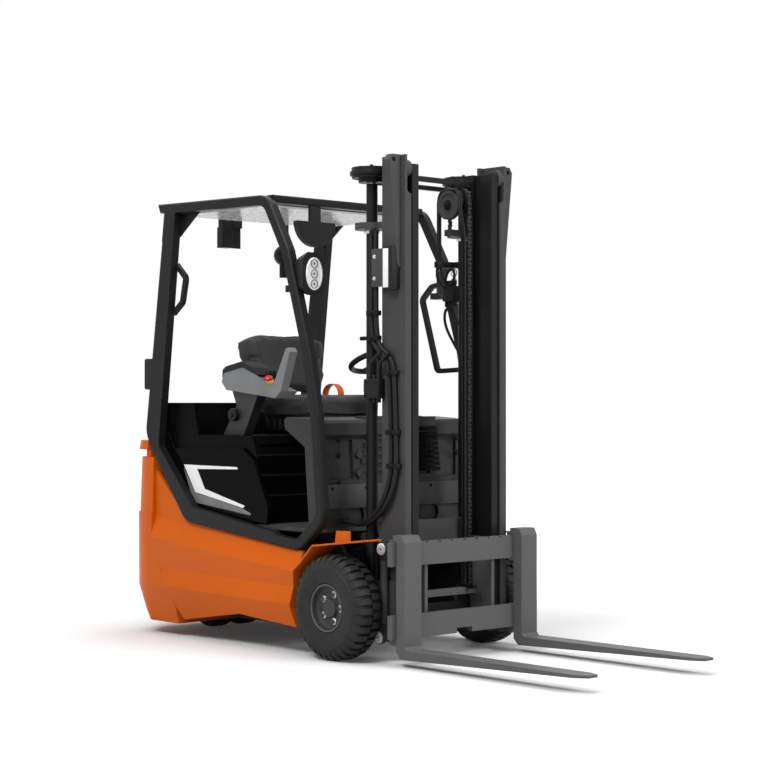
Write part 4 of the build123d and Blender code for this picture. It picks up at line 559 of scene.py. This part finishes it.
def front_wheel(side, name):
    """Tyre, rim ring and wheel nuts of one front wheel, with painted shade in the nut bores."""
    body = "front_wheel_" + name
    low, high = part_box("front_tyre_" + name)
    centre = (low + high) / 2
    radius = (high.z - low.z) / 2
    width = high.y - low.y
    rim_low, rim_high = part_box("front_rim_" + name)
    rim_r = (rim_high.z - rim_low.z) / 2
    bm = bmesh.new()
    add_tyre(bm, centre, radius, rim_r + TYRE_BORE_GAP, width, FRONT_LUGS)
    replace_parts(make_piece("tyre_" + name, bm, "rubber", body), "front_tyre_" + name)
    outward = Vector((0, side, 0))
    rim_face = rim_high.y if side > 0 else rim_low.y
    ring = bmesh.new()
    add_lathe(ring, ((rim_r - 0.006, -0.004), (rim_r - 0.001, -0.001), (rim_r + 0.001, 0.002),
                     (rim_r - 0.002, 0.004), (rim_r - 0.007, 0.001)),
              Vector((centre.x, rim_face, centre.z)), outward, 64, closed=True)
    make_piece("rim_ring_" + name, ring, "fork", body)
    nuts = bmesh.new()
    bore_shade = bmesh.new()
    nut_face = centre.y + side * NUT_FACE
    for i in range(NUT_COUNT):
        turn = 2 * math.pi * i / NUT_COUNT
        at = Vector((centre.x + NUT_CIRCLE_R * math.cos(turn), nut_face,
                     centre.z + NUT_CIRCLE_R * math.sin(turn)))
        add_rod(nuts, at, at + outward * 0.0030, 0.0155, 24, 0.001)
        add_rod(nuts, at, at + outward * 0.0090, 0.0120, 6, 0.0012)
        # thin dark disc on each nut's face: painted shade for the nut's bore
        add_rod(bore_shade, at + outward * 0.0088, at + outward * 0.0093, 0.0058, 16)
    make_piece("wheel_nuts_" + name, nuts, "steel", body)
    make_piece("nut_bore_shade_" + name, bore_shade, "frame", body)


def rear_wheels():
    """Both tyres of the steered twin wheel."""
    low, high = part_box("rear_tyres")
    middle = (low + high) / 2
    offset = (high.y - low.y - REAR_TYRE_WIDTH) / 2
    radius = (high.z - low.z) / 2
    bm = bmesh.new()
    for side in (-1, 1):
        centre = Vector((middle.x, side * offset, middle.z))
        add_tyre(bm, centre, radius, REAR_RIM_R, REAR_TYRE_WIDTH, REAR_LUGS)
    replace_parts(make_piece("twin_tyres", bm, "rubber", "rear_wheels"), "rear_tyres")


# Leaf chains
def add_chain(bm, joints):
    """Pins at the joints, with rows of plates that alternate from link to link."""
    across = Vector((0, 1, 0))
    rows = ((-0.0085, -0.0017, 0.0051), (-0.0051, 0.0017, 0.0085))
    for k, (start, end) in enumerate(zip(joints, joints[1:])):
        along = (end - start).normalized()
        normal = along.cross(across)
        middle = (start + end) / 2
        reach = (end - start).length / 2
        outline = ((reach + 0.0045, 0.0025), (reach + 0.0025, 0.0052), (0.0, 0.0040),
                   (-reach - 0.0025, 0.0052), (-reach - 0.0045, 0.0025))
        outline = outline + tuple((a, -n) for a, n in reversed(outline))
        for y in rows[k % 2]:
            faces = []
            for side in (-CHAIN_PLATE_HALF, CHAIN_PLATE_HALF):
                level = across * (y + side)
                faces.append([bm.verts.new(middle + along * a + normal * n + level) for a, n in outline])
            bm.faces.new(faces[0])
            bm.faces.new(faces[1])
            for i in range(len(outline)):
                j = (i + 1) % len(outline)
                bm.faces.new((faces[0][i], faces[0][j], faces[1][j], faces[1][i]))
    for joint in joints:
        add_rod(bm, joint - across * CHAIN_PIN_HALF, joint + across * CHAIN_PIN_HALF, CHAIN_PIN_R, 8)


def straight_joints(x, y, low, high):
    count = round((high - low) / CHAIN_PITCH)
    return [Vector((x, y, low + (high - low) * i / count)) for i in range(count + 1)]


def chains():
    """Front runs, wraps on the sheaves, and rear runs across the two masts."""
    low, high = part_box("front_chains")
    rear_low, rear_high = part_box("rear_chains")
    front_x = (low.x + high.x) / 2
    rear_x = (rear_low.x + rear_high.x) / 2
    line_y = high.y - CHAIN_WIDTH / 2
    front = bmesh.new()
    wrap = bmesh.new()
    rear = bmesh.new()
    centre_x = (front_x + rear_x) / 2
    turn_r = (front_x - rear_x) / 2
    for y in (-line_y, line_y):
        add_chain(front, straight_joints(front_x, y, low.z, high.z))
        add_chain(rear, straight_joints(rear_x, y, rear_low.z, rear_high.z))
        bend = []
        for i in range(WRAP_LINKS + 1):
            turn = math.pi * i / WRAP_LINKS
            bend.append(Vector((centre_x + turn_r * math.cos(turn), y, high.z + turn_r * math.sin(turn))))
        add_chain(wrap, bend)
    run = make_piece("chain_front_runs", front, "chain", "mast_inner")
    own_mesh(run)
    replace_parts(run, "front_chains")
    make_piece("chain_over_sheaves", wrap, "chain", "mast_inner")
    short = make_piece("chain_rear_runs", rear, "chain", None)
    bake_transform(short)
    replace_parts(short, "rear_chains")


# Hoses, clips, valve block and marker lamp on the mast
def mast_lines():
    side_y = -MAST_HALF
    run_y = side_y - HOSE_R - 0.002
    for name, shift in (("a", 0.0), ("b", 0.030)):
        points = (
            spot(0.078 + shift, run_y, 1.860),
            spot(0.078 + shift, run_y, 1.560),
            spot(0.080 + shift, run_y, 1.430),
            spot(0.100 + shift, run_y, 1.350),
            spot(0.180 + shift, run_y, 1.310),
            spot(0.196 + shift, run_y, 1.200),
            spot(0.204 + shift, run_y, 0.960),
            spot(0.210 + shift, run_y - 0.004, 0.800),
            spot(0.165 + shift, run_y - 0.010, 0.680),
            spot(0.075 + shift, run_y - 0.006, 0.600),
            spot(-0.030 + shift, -0.318, 0.575),
            spot(-0.118, -0.290 - shift, 0.592),
        )
        hose = tube("mast_hose_" + name, points, HOSE_R, "hose", None)
        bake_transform(hose)
    bm = bmesh.new()
    for x, z in ((0.093, 1.500), (0.095, 1.392), (0.208, 1.240), (0.217, 0.985), (0.222, 0.840)):
        add_box(bm, spot(x - 0.034, side_y - 0.030, z - 0.011), spot(x + 0.036, side_y, z + 0.011), 0.003)
        add_bolt(bm, spot(x + 0.001, side_y - 0.030, z), (0, -1, 0), 0.012)
    add_rod(bm, spot(0.058, side_y - 0.016, 1.392), spot(0.012, side_y - 0.016, 1.392), 0.009, 16, 0.002)
    make_piece("hose_clips", bm, "frame", "mast_outer")
    block = bmesh.new()
    add_box(block, spot(0.060, side_y - 0.044, 1.130), spot(0.152, side_y, 1.215), 0.004)
    add_box(block, spot(0.048, side_y - 0.034, 1.160), spot(0.062, side_y - 0.006, 1.196), 0.003)
    for x in (0.078, 0.106, 0.134):
        add_rod(block, spot(x, side_y - 0.022, 1.213), spot(x, side_y - 0.022, 1.232), 0.012, 6, 0.001)
        add_rod(block, spot(x, side_y - 0.022, 1.112), spot(x, side_y - 0.022, 1.132), 0.011, 6, 0.001)
    for x, z in ((0.072, 1.202), (0.140, 1.202), (0.072, 1.143), (0.140, 1.143)):
        add_bolt(block, spot(x, side_y - 0.044, z), (0, -1, 0), 0.010)
    make_piece("valve_block", block, "plastic", "mast_outer")
    for name, x in (("a", 0.078), ("b", 0.134)):
        points = (
            spot(x, side_y - 0.022, 1.230),
            spot(x, side_y - 0.022, 1.270),
            spot(x + 0.030, side_y - 0.030, 1.300),
            spot(x + 0.075, side_y - 0.026, 1.330),
        )
        tube("valve_hose_" + name, points, 0.008, "hose", "mast_outer")
    plate_y = side_y - 0.034
    plate = bmesh.new()
    add_box(plate, spot(0.106, plate_y - 0.005, 1.611), spot(0.190, plate_y, 1.776), 0.0015)
    add_box(plate, spot(0.170, plate_y, 1.650), spot(0.215, side_y, 1.730), 0.002)
    make_piece("marker_plate", plate, "mast", "mast_outer")
    bolts = bmesh.new()
    for z in (1.648, 1.742):
        add_bolt(bolts, spot(0.126, plate_y - 0.005, z), (0, -1, 0), 0.012)
    make_piece("marker_bolts", bolts, "steel", "mast_outer")
    housing = bmesh.new()
    add_box(housing, spot(0.182, plate_y - 0.006, 1.596), spot(0.246, plate_y + 0.030, 1.784), 0.004)
    add_box(housing, spot(0.219, plate_y - 0.012, 1.596), spot(0.246, plate_y - 0.003, 1.784), 0.002)
    make_piece("marker_housing", housing, "plastic", "mast_outer")
    lens = bmesh.new()
    add_box(lens, spot(0.184, plate_y - 0.011, 1.606), spot(0.2185, plate_y - 0.005, 1.774), 0.002)
    make_piece("marker_lens", lens, "white", "mast_outer")


def mast_fittings():
    """White pin caps, collars under the brackets, head bolts and sheave nuts."""
    caps = bmesh.new()
    dots = bmesh.new()
    for side in (-1, 1):
        for face, z in ((MAST_HALF + 0.036, 0.103), (MAST_HALF + 0.020, 0.481)):
            at = spot(0.150, side * face, z)
            out = Vector((0, side, 0))
            add_lathe(caps, ((0.0256, 0.0003), (0.0258, 0.0040), (0.0235, 0.0060), (0.006, 0.0066)),
                      at, out, 40)
            add_rod(dots, at + out * 0.0064, at + out * 0.0070, 0.0042, 16)
    make_piece("pin_caps", caps, "cap", "mast_outer")
    make_piece("pin_cap_dots", dots, "frame", "mast_outer")
    low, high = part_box("lift_barrels")
    collars = bmesh.new()
    for side in (-1, 1):
        at = Vector(((low.x + high.x) / 2, side * LIFT_Y, BRACKET_Z))
        add_lathe(collars, ((0.0254, -0.0165), (0.0325, -0.0165), (0.0330, -0.012), (0.0330, -0.004),
                            (0.0325, 0.0), (0.0254, 0.0)), at, (0, 0, 1), 48, closed=True)
    make_piece("lift_collars", collars, "steel", "mast_outer")
    nuts = bmesh.new()
    sheave_x = AXLE + 0.118
    for side in (-1, 1):
        add_bolt(nuts, Vector((sheave_x, side * 0.191, SHEAVE_Z)), (0, side, 0), 0.022)
        add_bolt(nuts, Vector((sheave_x, side * 0.150, SHEAVE_Z)), (0, -side, 0), 0.020)
    make_piece("sheave_nuts", nuts, "frame", "mast_inner")
    heads = bmesh.new()
    head_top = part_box("inner_mast")[1].z
    for side in (-1, 1):
        at = Vector(((low.x + high.x) / 2, side * LIFT_Y, head_top))
        for i in range(4):
            turn = math.pi / 4 + math.pi / 2 * i
            shift = Vector((math.cos(turn), math.sin(turn), 0)) * HEAD_BOLT_CIRCLE_R
            add_bolt(heads, at + shift, (0, 0, 1), 0.016)
    make_piece("head_bolts", heads, "frame", "mast_inner")


def carriage_fittings():
    """Stop bolts on the left ends of the carriage's bars."""
    bm = bmesh.new()
    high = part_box("fork_carriage")[1]
    middle = high.x - BAR_BOLT_INSET
    for z in (0.497, 0.444, 0.190, 0.138):
        add_rod(bm, (middle, high.y, z), (middle, high.y + 0.018, z), 0.017, 24, 0.002)
        add_bolt(bm, (middle, high.y + 0.018, z), (0, 1, 0), 0.022)
    make_piece("bar_bolts", bm, "frame", "carriage")


# Seat: cushions swollen from the CAD's soft solids
def padded_copy(name, node, cap):
    """Remeshes a soft solid and swells it as cloth under pressure, by no more than cap."""
    bm = bmesh.new()
    bm.from_mesh(NODES[node].data)
    bmesh.ops.remove_doubles(bm, verts=bm.verts, dist=1e-5)
    bmesh.ops.recalc_face_normals(bm, faces=bm.faces)
    mesh = bpy.data.meshes.new(name)
    bm.to_mesh(mesh)
    bm.free()
    pad = bpy.data.objects.new(name, mesh)
    SCENE.collection.objects.link(pad)
    remesh = pad.modifiers.new("remesh", "REMESH")
    remesh.mode = "VOXEL"
    remesh.voxel_size = PAD_VOXEL
    inward = pad.modifiers.new("inward", "DISPLACE")
    inward.strength = -PAD_INSET
    inward.mid_level = 0.0
    soften = pad.modifiers.new("soften", "SMOOTH")
    soften.factor = 0.5
    soften.iterations = 12
    bake(pad)
    start = [v.co.copy() for v in pad.data.vertices]
    cloth = pad.modifiers.new("cloth", "CLOTH")
    cloth.settings.use_pressure = True
    cloth.settings.uniform_pressure_force = PAD_PRESSURE
    cloth.settings.effector_weights.gravity = 0.0
    cloth.point_cache.frame_start = 1
    cloth.point_cache.frame_end = PAD_FRAMES
    for number in range(1, PAD_FRAMES + 1):
        SCENE.frame_set(number)
    bake(pad)
    for vertex, before in zip(pad.data.vertices, start):
        move = vertex.co - before
        if move.length > cap:
            vertex.co = before + move * (cap / move.length)
    SCENE.frame_set(1)
    return pad


def bake(piece):
    """Puts the result of a piece's modifiers into its mesh."""
    view = bpy.context.evaluated_depsgraph_get()
    mesh = bpy.data.meshes.new_from_object(piece.evaluated_get(view))
    piece.modifiers.clear()
    piece.data = mesh


def finish_pad(pad, node):
    for vertex in pad.data.vertices:
        for axis in range(3):
            vertex.co[axis] = min(max(vertex.co[axis], PAD_LIMIT[node][0][axis]), PAD_LIMIT[node][1][axis])
    smooth = pad.modifiers.new("smooth", "SUBSURF")
    smooth.levels = 1
    smooth.render_levels = 1
    bake(pad)
    pad.data.materials.clear()
    pad.data.materials.append(MATERIALS["seat"])
    pad.data.polygons.foreach_set("use_smooth", [True] * len(pad.data.polygons))
    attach(pad, "truck")
    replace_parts(pad, node)


def groove(distance, width, depth):
    return depth * math.exp(-(distance / width) ** 2)


PAD_LIMIT = {node: [list(corner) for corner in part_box(node)] for node in ("seat_cushion", "seat_back")}


def seat():
    back = padded_copy("seat_back_pad", "seat_back", BACK_SWELL)
    low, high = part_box("seat_back")
    cross_seam = low.z + 0.58 * (high.z - low.z)
    for vertex in back.data.vertices:
        y = abs(vertex.co.y)
        rise = (vertex.co.z - low.z) / (high.z - low.z)
        front = vertex.normal.x > 0.2
        if front:
            seam = 0.150 + 0.045 * rise
            hollow = 0.020 * max(0.0, 1 - (y / seam) ** 2) * max(0.0, 1 - abs(rise - 0.5) * 1.4)
            vertex.co.x -= groove(y - seam, SEAM_WIDTH, 0.009) + hollow
            if y > seam:
                vertex.co.x -= groove(vertex.co.z - cross_seam, SEAM_WIDTH, 0.008)
    finish_pad(back, "seat_back")
    cushion = padded_copy("seat_cushion_pad", "seat_cushion", CUSHION_SWELL)
    for vertex in cushion.data.vertices:
        if vertex.normal.z > 0.2:
            y = abs(vertex.co.y)
            vertex.co.z -= groove(y - CUSHION_SEAM_Y, SEAM_WIDTH, 0.008)
            vertex.co.z -= 0.012 * max(0.0, 1 - (y / CUSHION_SEAM_Y) ** 2)
    finish_pad(cushion, "seat_cushion")


def armrest_fittings():
    """Elbow pad, stop button, finger levers, arm knob, seat bellows and belt buckle."""
    pad = bmesh.new()
    outline = ((-0.893, 1.228), (-0.889, 1.268), (-0.865, 1.283), (-0.745, 1.305), (-0.660, 1.274),
               (-0.612, 1.238), (-0.650, 1.244), (-0.739, 1.281), (-0.878, 1.257))
    add_plate(pad, outline, ARM_Y - 0.053, ARM_Y + 0.053)
    bmesh.ops.bevel(pad, geom=pad.edges[:], offset=0.004, segments=2, profile=0.5, affect="EDGES")
    make_piece("elbow_pad", pad, "plastic", "truck", 50.0)
    stop = bmesh.new()
    add_lathe(stop, ((0.016, 0.010), (0.019, 0.014), (0.019, 0.022), (0.014, 0.027), (0.004, 0.028)),
              spot(-0.582, ARM_Y - 0.020, 1.208), (0.25, -0.35, 1), 32)
    make_piece("stop_button", stop, "red", "truck")
    collar = bmesh.new()
    add_lathe(collar, ((0.021, -0.004), (0.022, 0.004), (0.020, 0.009), (0.010, 0.010)),
              spot(-0.582, ARM_Y - 0.020, 1.208), (0.25, -0.35, 1), 32)
    make_piece("stop_collar", collar, "yellow", "truck")
    levers = bmesh.new()
    for k in range(3):
        y = ARM_Y - 0.015 + 0.022 * k
        add_box(levers, spot(-0.612, y - 0.008, 1.225), spot(-0.588, y + 0.008, 1.262), 0.005)
    make_piece("finger_levers", levers, "plastic", "truck")
    column = bmesh.new()
    add_rod(column, spot(-0.822, ARM_Y - 0.026, 1.055), spot(-0.822, ARM_Y - 0.052, 1.055), 0.030, 32, 0.006)
    add_rod(column, spot(-0.822, ARM_Y - 0.050, 1.055), spot(-0.822, ARM_Y - 0.060, 1.055), 0.014, 24, 0.003)
    make_piece("arm_knob", column, "plastic", "truck")
    bellows = bmesh.new()
    low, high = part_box("seat_base")
    for k in range(7):
        x = low.x + 0.060 + 0.042 * k
        y = low.y - 0.004
        add_rod(bellows, (x, y, low.z + 0.020), (x, y, high.z - 0.012), 0.017, 16, 0.006)
    make_piece("seat_bellows", bellows, "hose", "truck")
    buckle = bmesh.new()
    add_box(buckle, spot(-0.800, -0.272, 1.050), spot(-0.776, -0.252, 1.105), 0.004)
    add_box(buckle, spot(-0.795, -0.266, 0.960), spot(-0.781, -0.258, 1.055), 0.001)
    make_piece("belt_buckle", buckle, "frame", "truck")
    press = bmesh.new()
    add_box(press, spot(-0.798, -0.2735, 1.086), spot(-0.778, -0.255, 1.1065), 0.003)
    make_piece("buckle_press", press, "red", "truck")


# Lamps, hand wheel, hose pulley, cowl and trim
def lamp_faces():
    """Reflector plates with three light cups behind each lamp's oval lens."""
    low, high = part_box("lamp_lenses")
    plates = bmesh.new()
    cups = bmesh.new()
    for side in (-1, 1):
        centre = Vector((low.x + 0.0002, side * (high.y - LENS_HALF_Y), (low.z + high.z) / 2))
        ring = []
        for share, x in ((1.0, 0.0), (0.985, 0.006), (0.90, 0.0065), (0.86, 0.003), (0.0, 0.003)):
            steps = LENS_STEPS if share else 1
            row = []
            for i in range(steps):
                turn = 2 * math.pi * i / LENS_STEPS
                across = share * LENS_HALF_Y * math.cos(turn)
                up = share * LENS_HALF_Z * math.sin(turn)
                row.append(plates.verts.new(centre + Vector((x, across, up))))
            ring.append(row)
        for inner, outer in zip(ring[1:], ring):
            for i in range(LENS_STEPS):
                j = (i + 1) % LENS_STEPS
                if len(inner) == 1:
                    plates.faces.new((outer[i], outer[j], inner[0]))
                else:
                    plates.faces.new((outer[i], outer[j], inner[j], inner[i]))
        for shift in (-0.045, 0.0, 0.045):
            add_lathe(cups, ((0.0170, 0.0030), (0.0195, 0.0030), (0.0195, 0.0070), (0.0175, 0.0070)),
                      centre + Vector((0, 0, shift)), (1, 0, 0), 32, closed=True)
            add_rod(cups, centre + Vector((0.003, 0, shift)), centre + Vector((0.006, 0, shift)), 0.005, 16)
    make_piece("lamp_plates", plates, "cap", "truck")
    make_piece("lamp_cups", cups, "mast", "truck")


def cab_fittings():
    """Spinner knob and boss of the hand wheel."""
    bm = bmesh.new()
    column_axis = Vector(JOINTS["steering_turn"]["axis"]).normalized()
    centre = Vector(JOINTS["steering_turn"]["pos_m"])
    sideways = Vector((0, 1, 0))
    forward = sideways.cross(column_axis)
    knob_at = centre + (sideways - forward).normalized() * KNOB_CIRCLE_R + column_axis * 0.010
    add_rod(bm, knob_at, knob_at + column_axis * 0.018, 0.008, 16)
    add_lathe(bm, ((0.010, 0.016), (0.019, 0.022), (0.022, 0.034), (0.018, 0.046), (0.006, 0.050)),
              knob_at, column_axis, 24)
    make_piece("wheel_knob", bm, "plastic", "hand_wheel")
    boss = bmesh.new()
    add_lathe(boss, ((0.042, 0.004), (0.043, 0.012), (0.036, 0.020), (0.010, 0.023)), centre, column_axis, 40)
    make_piece("wheel_boss", boss, "hood", "hand_wheel")


def hose_pulley():
    """Pulley beside the left chain, its two hoses and the bundle that feeds them."""
    centre = spot(0.105, 0.137, 2.000)
    wheel = bmesh.new()
    add_lathe(wheel, ((0.024, 0.0), (0.063, 0.0), (0.066, 0.002), (0.058, 0.006), (0.058, 0.019),
                      (0.066, 0.023), (0.063, 0.025), (0.050, 0.025), (0.046, 0.020), (0.030, 0.020),
                      (0.024, 0.025)),
              centre, (0, -1, 0), 64, closed=True)
    make_piece("hose_pulley", wheel, "mast", "mast_inner")
    hub = bmesh.new()
    add_rod(hub, centre + Vector((0, 0.030, 0)), centre - Vector((0, 0.030, 0)), 0.0235, 32, 0.003)
    add_bolt(hub, centre - Vector((0, 0.030, 0)), (0, -1, 0), 0.020)
    make_piece("pulley_hub", hub, "frame", "mast_inner")
    turn_r = PULLEY_TURN_R
    length = PULLEY_HOSE_LENGTH
    for name, y, inward in (("a", 0.118, 0.016), ("b", 0.130, 0.0)):
        front = Vector((centre.x + turn_r, y, centre.z))
        rear = Vector((centre.x - turn_r, y, centre.z))
        rise = Vector((0, 0, turn_r))
        crown = Vector((centre.x, y, centre.z + 1.10 * turn_r))
        tube("pulley_hose_" + name, (front, front + 0.88 * rise, crown, rear + 0.88 * rise, rear),
             PULLEY_HOSE_R, "hose", "mast_inner")
        aside = Vector((-inward, HOSE_RUN_Y - y, 0))
        route = (front, front - 0.5 * rise, front - 2.0 * rise + aside, front - 4.0 * rise + aside,
                 front + Vector((0, 0, -length)) + aside)
        run = tube("pulley_hose_front_" + name, route, PULLEY_HOSE_R, "hose", "mast_inner")
        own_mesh(run)
        foot = Vector((0, 0, -0.260))
        drop = tube("pulley_hose_rear_" + name, (rear, rear + foot / 2, rear + foot),
                    PULLEY_HOSE_R, "hose", None)
        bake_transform(drop)
    tube("bundle_hose_a", (spot(0.039, 0.118, 1.745), spot(0.016, 0.122, 1.680), spot(0.045, 0.150, 1.625),
                           spot(0.100, 0.165, 1.660), spot(0.085, 0.170, 1.725), spot(0.030, 0.175, 1.700),
                           spot(0.015, 0.180, 1.600), spot(0.050, 0.200, 1.510), spot(0.098, 0.225, 1.430)),
         PULLEY_HOSE_R, "hose", "mast_outer")
    tube("bundle_hose_b", (spot(0.039, 0.130, 1.745), spot(0.045, 0.140, 1.650), spot(0.092, 0.165, 1.605),
                           spot(0.085, 0.170, 1.545), spot(0.030, 0.170, 1.540), spot(0.010, 0.185, 1.470),
                           spot(0.050, 0.205, 1.380), spot(0.098, 0.225, 1.300)),
         PULLEY_HOSE_R, "hose", "mast_outer")
    clamp = bmesh.new()
    add_box(clamp, spot(0.026, 0.104, 1.722), spot(0.056, 0.215, 1.750), 0.003)
    add_box(clamp, spot(0.056, 0.195, 1.722), spot(0.110, 0.215, 1.750), 0.003)
    add_box(clamp, spot(0.030, 0.152, 1.570), spot(0.100, 0.205, 1.640), 0.004)
    for x in (0.040, 0.064, 0.088):
        add_rod(clamp, spot(x, 0.172, 1.640), spot(x, 0.172, 1.665), 0.010, 6, 0.001)
        add_rod(clamp, spot(x, 0.172, 1.545), spot(x, 0.172, 1.572), 0.010, 6, 0.001)
    make_piece("bundle_clamps", clamp, "plastic", "mast_outer")
    anchor = bmesh.new()
    add_box(anchor, spot(0.146, 0.140, 0.286), spot(0.240, 0.1645, 0.302), 0.002)
    make_piece("hose_anchor", anchor, "frame", "carriage")


def cowl_fittings():
    """Ribbed guard, its cap and the cross panel on the front of the cowl."""
    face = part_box("front_cowl")[1].x
    ribs = bmesh.new()
    for k in range(9):
        z = 0.800 + 0.023 * k
        end = 0.262 - 0.13 * (z - 0.790)
        add_box(ribs, (face - 0.012, 0.050, z), (face + 0.008, end, z + 0.018), 0.004)
    make_piece("cowl_ribs", ribs, "hood", "truck")
    cap = bmesh.new()
    add_box(cap, (face - 0.012, 0.055, 1.008), (face + 0.006, 0.230, 1.050), 0.004)
    make_piece("cowl_rib_cap", cap, "cowl", "truck")
    panel = bmesh.new()
    add_box(panel, (face - 0.012, -0.430, 0.645), (face + 0.004, 0.430, 0.752), 0.003)
    make_piece("cowl_cross_panel", panel, "mast", "truck")
    bolts = bmesh.new()
    for side in (-1, 1):
        for z in (0.880, 0.950):
            add_bolt(bolts, (face + 0.001, side * 0.365, z), (1, 0, 0), 0.020)
        for y in (0.20, 0.40):
            add_bolt(bolts, (face + 0.004, side * y, 0.735), (1, 0, 0), 0.010)
    make_piece("cowl_bolts", bolts, "frame", "truck")


def cover_bands():
    """Grey wedge below each accent."""
    bm = bmesh.new()
    outline = ((-1.102, 0.803), (-1.012, 0.688), (-0.650, 0.627), (-0.590, 0.606), (-0.600, 0.598),
               (-1.000, 0.640), (-1.034, 0.658))
    for side in (-1, 1):
        add_plate(bm, outline, side * COVER_FACE, side * (COVER_FACE + 0.002))
    make_piece("cover_bands", bm, "grey", "truck")


def hood_highlight_beads():
    """Raised beads along the stepped front of the battery hood, in the lighter guard paint: painted
    highlights along the step edges.
    """
    bm = bmesh.new()
    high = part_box("battery_hood")[1]
    for step, z in ((0, 0.686), (1, 0.779), (2, 0.871), (5, 0.961)):
        x = high.x - HOOD_STEP * step
        add_rod(bm, (x, -0.436, z), (x, 0.436, z), 0.004, 10)
    # guard paint, lighter than the hood: painted highlight lines
    make_piece("hood_highlight_beads", bm, "guard", "truck")


def belt_loop():
    """Slack loop of webbing that stands beside the seat."""
    bm = bmesh.new()
    line = []
    for i in range(25):
        turn = math.pi * (1.12 - 1.24 * i / 24)
        line.append(spot(-0.848 + 0.058 * math.cos(turn), 0, 1.152 + 0.052 * math.sin(turn)))
    line.insert(0, spot(-0.896, 0, 1.060))
    line.append(spot(-0.800, 0, 1.060))
    rows = []
    for k, at in enumerate(line):
        along = (line[min(k + 1, len(line) - 1)] - line[max(k - 1, 0)]).normalized()
        out = along.cross(Vector((0, 1, 0))) * 0.0015
        rows.append([bm.verts.new(at + out * face + Vector((0, y, 0)))
                     for face, y in ((-1, 0.243), (1, 0.243), (1, 0.281), (-1, 0.281))])
    for before, after in zip(rows, rows[1:]):
        for i in range(4):
            j = (i + 1) % 4
            bm.faces.new((before[i], before[j], after[j], after[i]))
    bm.faces.new(rows[0])
    bm.faces.new(rows[-1])
    make_piece("belt_loop", bm, "belt", "truck")


# Stage, light and camera
def make_floor():
    size = FLOOR_SIZE
    corners = [(-size, -size, 0), (size, -size, 0), (size, size, 0), (-size, size, 0)]
    mesh = bpy.data.meshes.new("floor")
    mesh.from_pydata(corners, [], [(0, 1, 2, 3)])
    floor = bpy.data.objects.new("floor", mesh)
    SCENE.collection.objects.link(floor)
    material, nodes, links, shader = new_material("floor_white")
    shader.inputs["Base Color"].default_value = (FLOOR_TONE, FLOOR_TONE, FLOOR_TONE, 1)
    shader.inputs["Roughness"].default_value = 0.9
    shader.inputs["Specular IOR Level"].default_value = 0.0
    shader.inputs["Emission Color"].default_value = (1, 1, 1, 1)
    away = nodes.new("ShaderNodeVectorMath")
    away.operation = "LENGTH"
    links.new(object_coordinates(nodes), away.inputs[0])
    glow = nodes.new("ShaderNodeMapRange")
    glow.interpolation_type = "SMOOTHSTEP"
    glow.inputs["From Min"].default_value = FLOOR_LIT
    glow.inputs["From Max"].default_value = FLOOR_WHITE
    glow.inputs["To Min"].default_value = FLOOR_GLOW_NEAR
    glow.inputs["To Max"].default_value = FLOOR_GLOW_FAR
    links.new(away.outputs["Value"], glow.inputs["Value"])
    seen = nodes.new("ShaderNodeMath")
    seen.operation = "MULTIPLY"
    links.new(glow.outputs["Result"], seen.inputs[0])
    links.new(seen_rays(nodes, links), seen.inputs[1])
    links.new(seen.outputs["Value"], shader.inputs["Emission Strength"])
    mesh.materials.append(material)


def seen_rays(nodes, links):
    """One for camera, glossy and transmission rays, which see the white background."""
    path = nodes.new("ShaderNodeLightPath")
    total = path.outputs["Is Camera Ray"]
    for name in ("Is Glossy Ray", "Is Transmission Ray"):
        either = nodes.new("ShaderNodeMath")
        either.operation = "MAXIMUM"
        links.new(total, either.inputs[0])
        links.new(path.outputs[name], either.inputs[1])
        total = either.outputs["Value"]
    return total


def make_world():
    world = bpy.data.worlds.new("studio")
    SCENE.world = world
    world.use_nodes = True
    nodes = world.node_tree.nodes
    links = world.node_tree.links
    background = nodes["Background"]
    strength = nodes.new("ShaderNodeMapRange")
    strength.inputs["To Min"].default_value = WORLD_FILL
    strength.inputs["To Max"].default_value = WORLD_SEEN
    links.new(seen_rays(nodes, links), strength.inputs["Value"])
    links.new(strength.outputs["Result"], background.inputs["Strength"])
    background.inputs["Color"].default_value = (1, 1, 1, 1)


def area_light(name, at, target, size, power):
    lamp = bpy.data.lights.new(name, "AREA")
    lamp.shape = "RECTANGLE"
    lamp.size, lamp.size_y = size
    lamp.energy = power
    holder = bpy.data.objects.new(name, lamp)
    SCENE.collection.objects.link(holder)
    holder.location = at
    holder.rotation_euler = (Vector(target) - Vector(at)).to_track_quat("-Z", "Y").to_euler()


def make_camera():
    data = bpy.data.cameras.new("camera")
    data.sensor_width = SENSOR_WIDTH
    data.lens = SENSOR_WIDTH * FOCAL_PIXELS / FRAME_PIXELS
    camera = bpy.data.objects.new("camera", data)
    SCENE.collection.objects.link(camera)
    camera.location = CAMERA_AT
    camera.rotation_euler = (math.radians(90 + CAMERA_PITCH), 0, math.radians(CAMERA_AZIMUTH))
    SCENE.camera = camera


front_wheel(-1, "right")
front_wheel(1, "left")
rear_wheels()
chains()
mast_lines()
mast_fittings()
carriage_fittings()
seat()
armrest_fittings()
lamp_faces()
cab_fittings()
hose_pulley()
cowl_fittings()
cover_bands()
hood_highlight_beads()
belt_loop()
make_floor()
make_world()
area_light("key", (1.5, -5.5, 6.5), (-0.2, 0, 0.8), (4.0, 3.0), KEY_POWER)
area_light("front", (7.0, 1.5, 4.0), (0, 0, 1.0), (3.5, 3.5), FRONT_POWER)
area_light("top", (-1.0, 0.5, 7.0), (-0.2, 0, 0.5), (5.0, 5.0), TOP_POWER)
make_camera()
SCENE.view_settings.view_transform = "Standard"
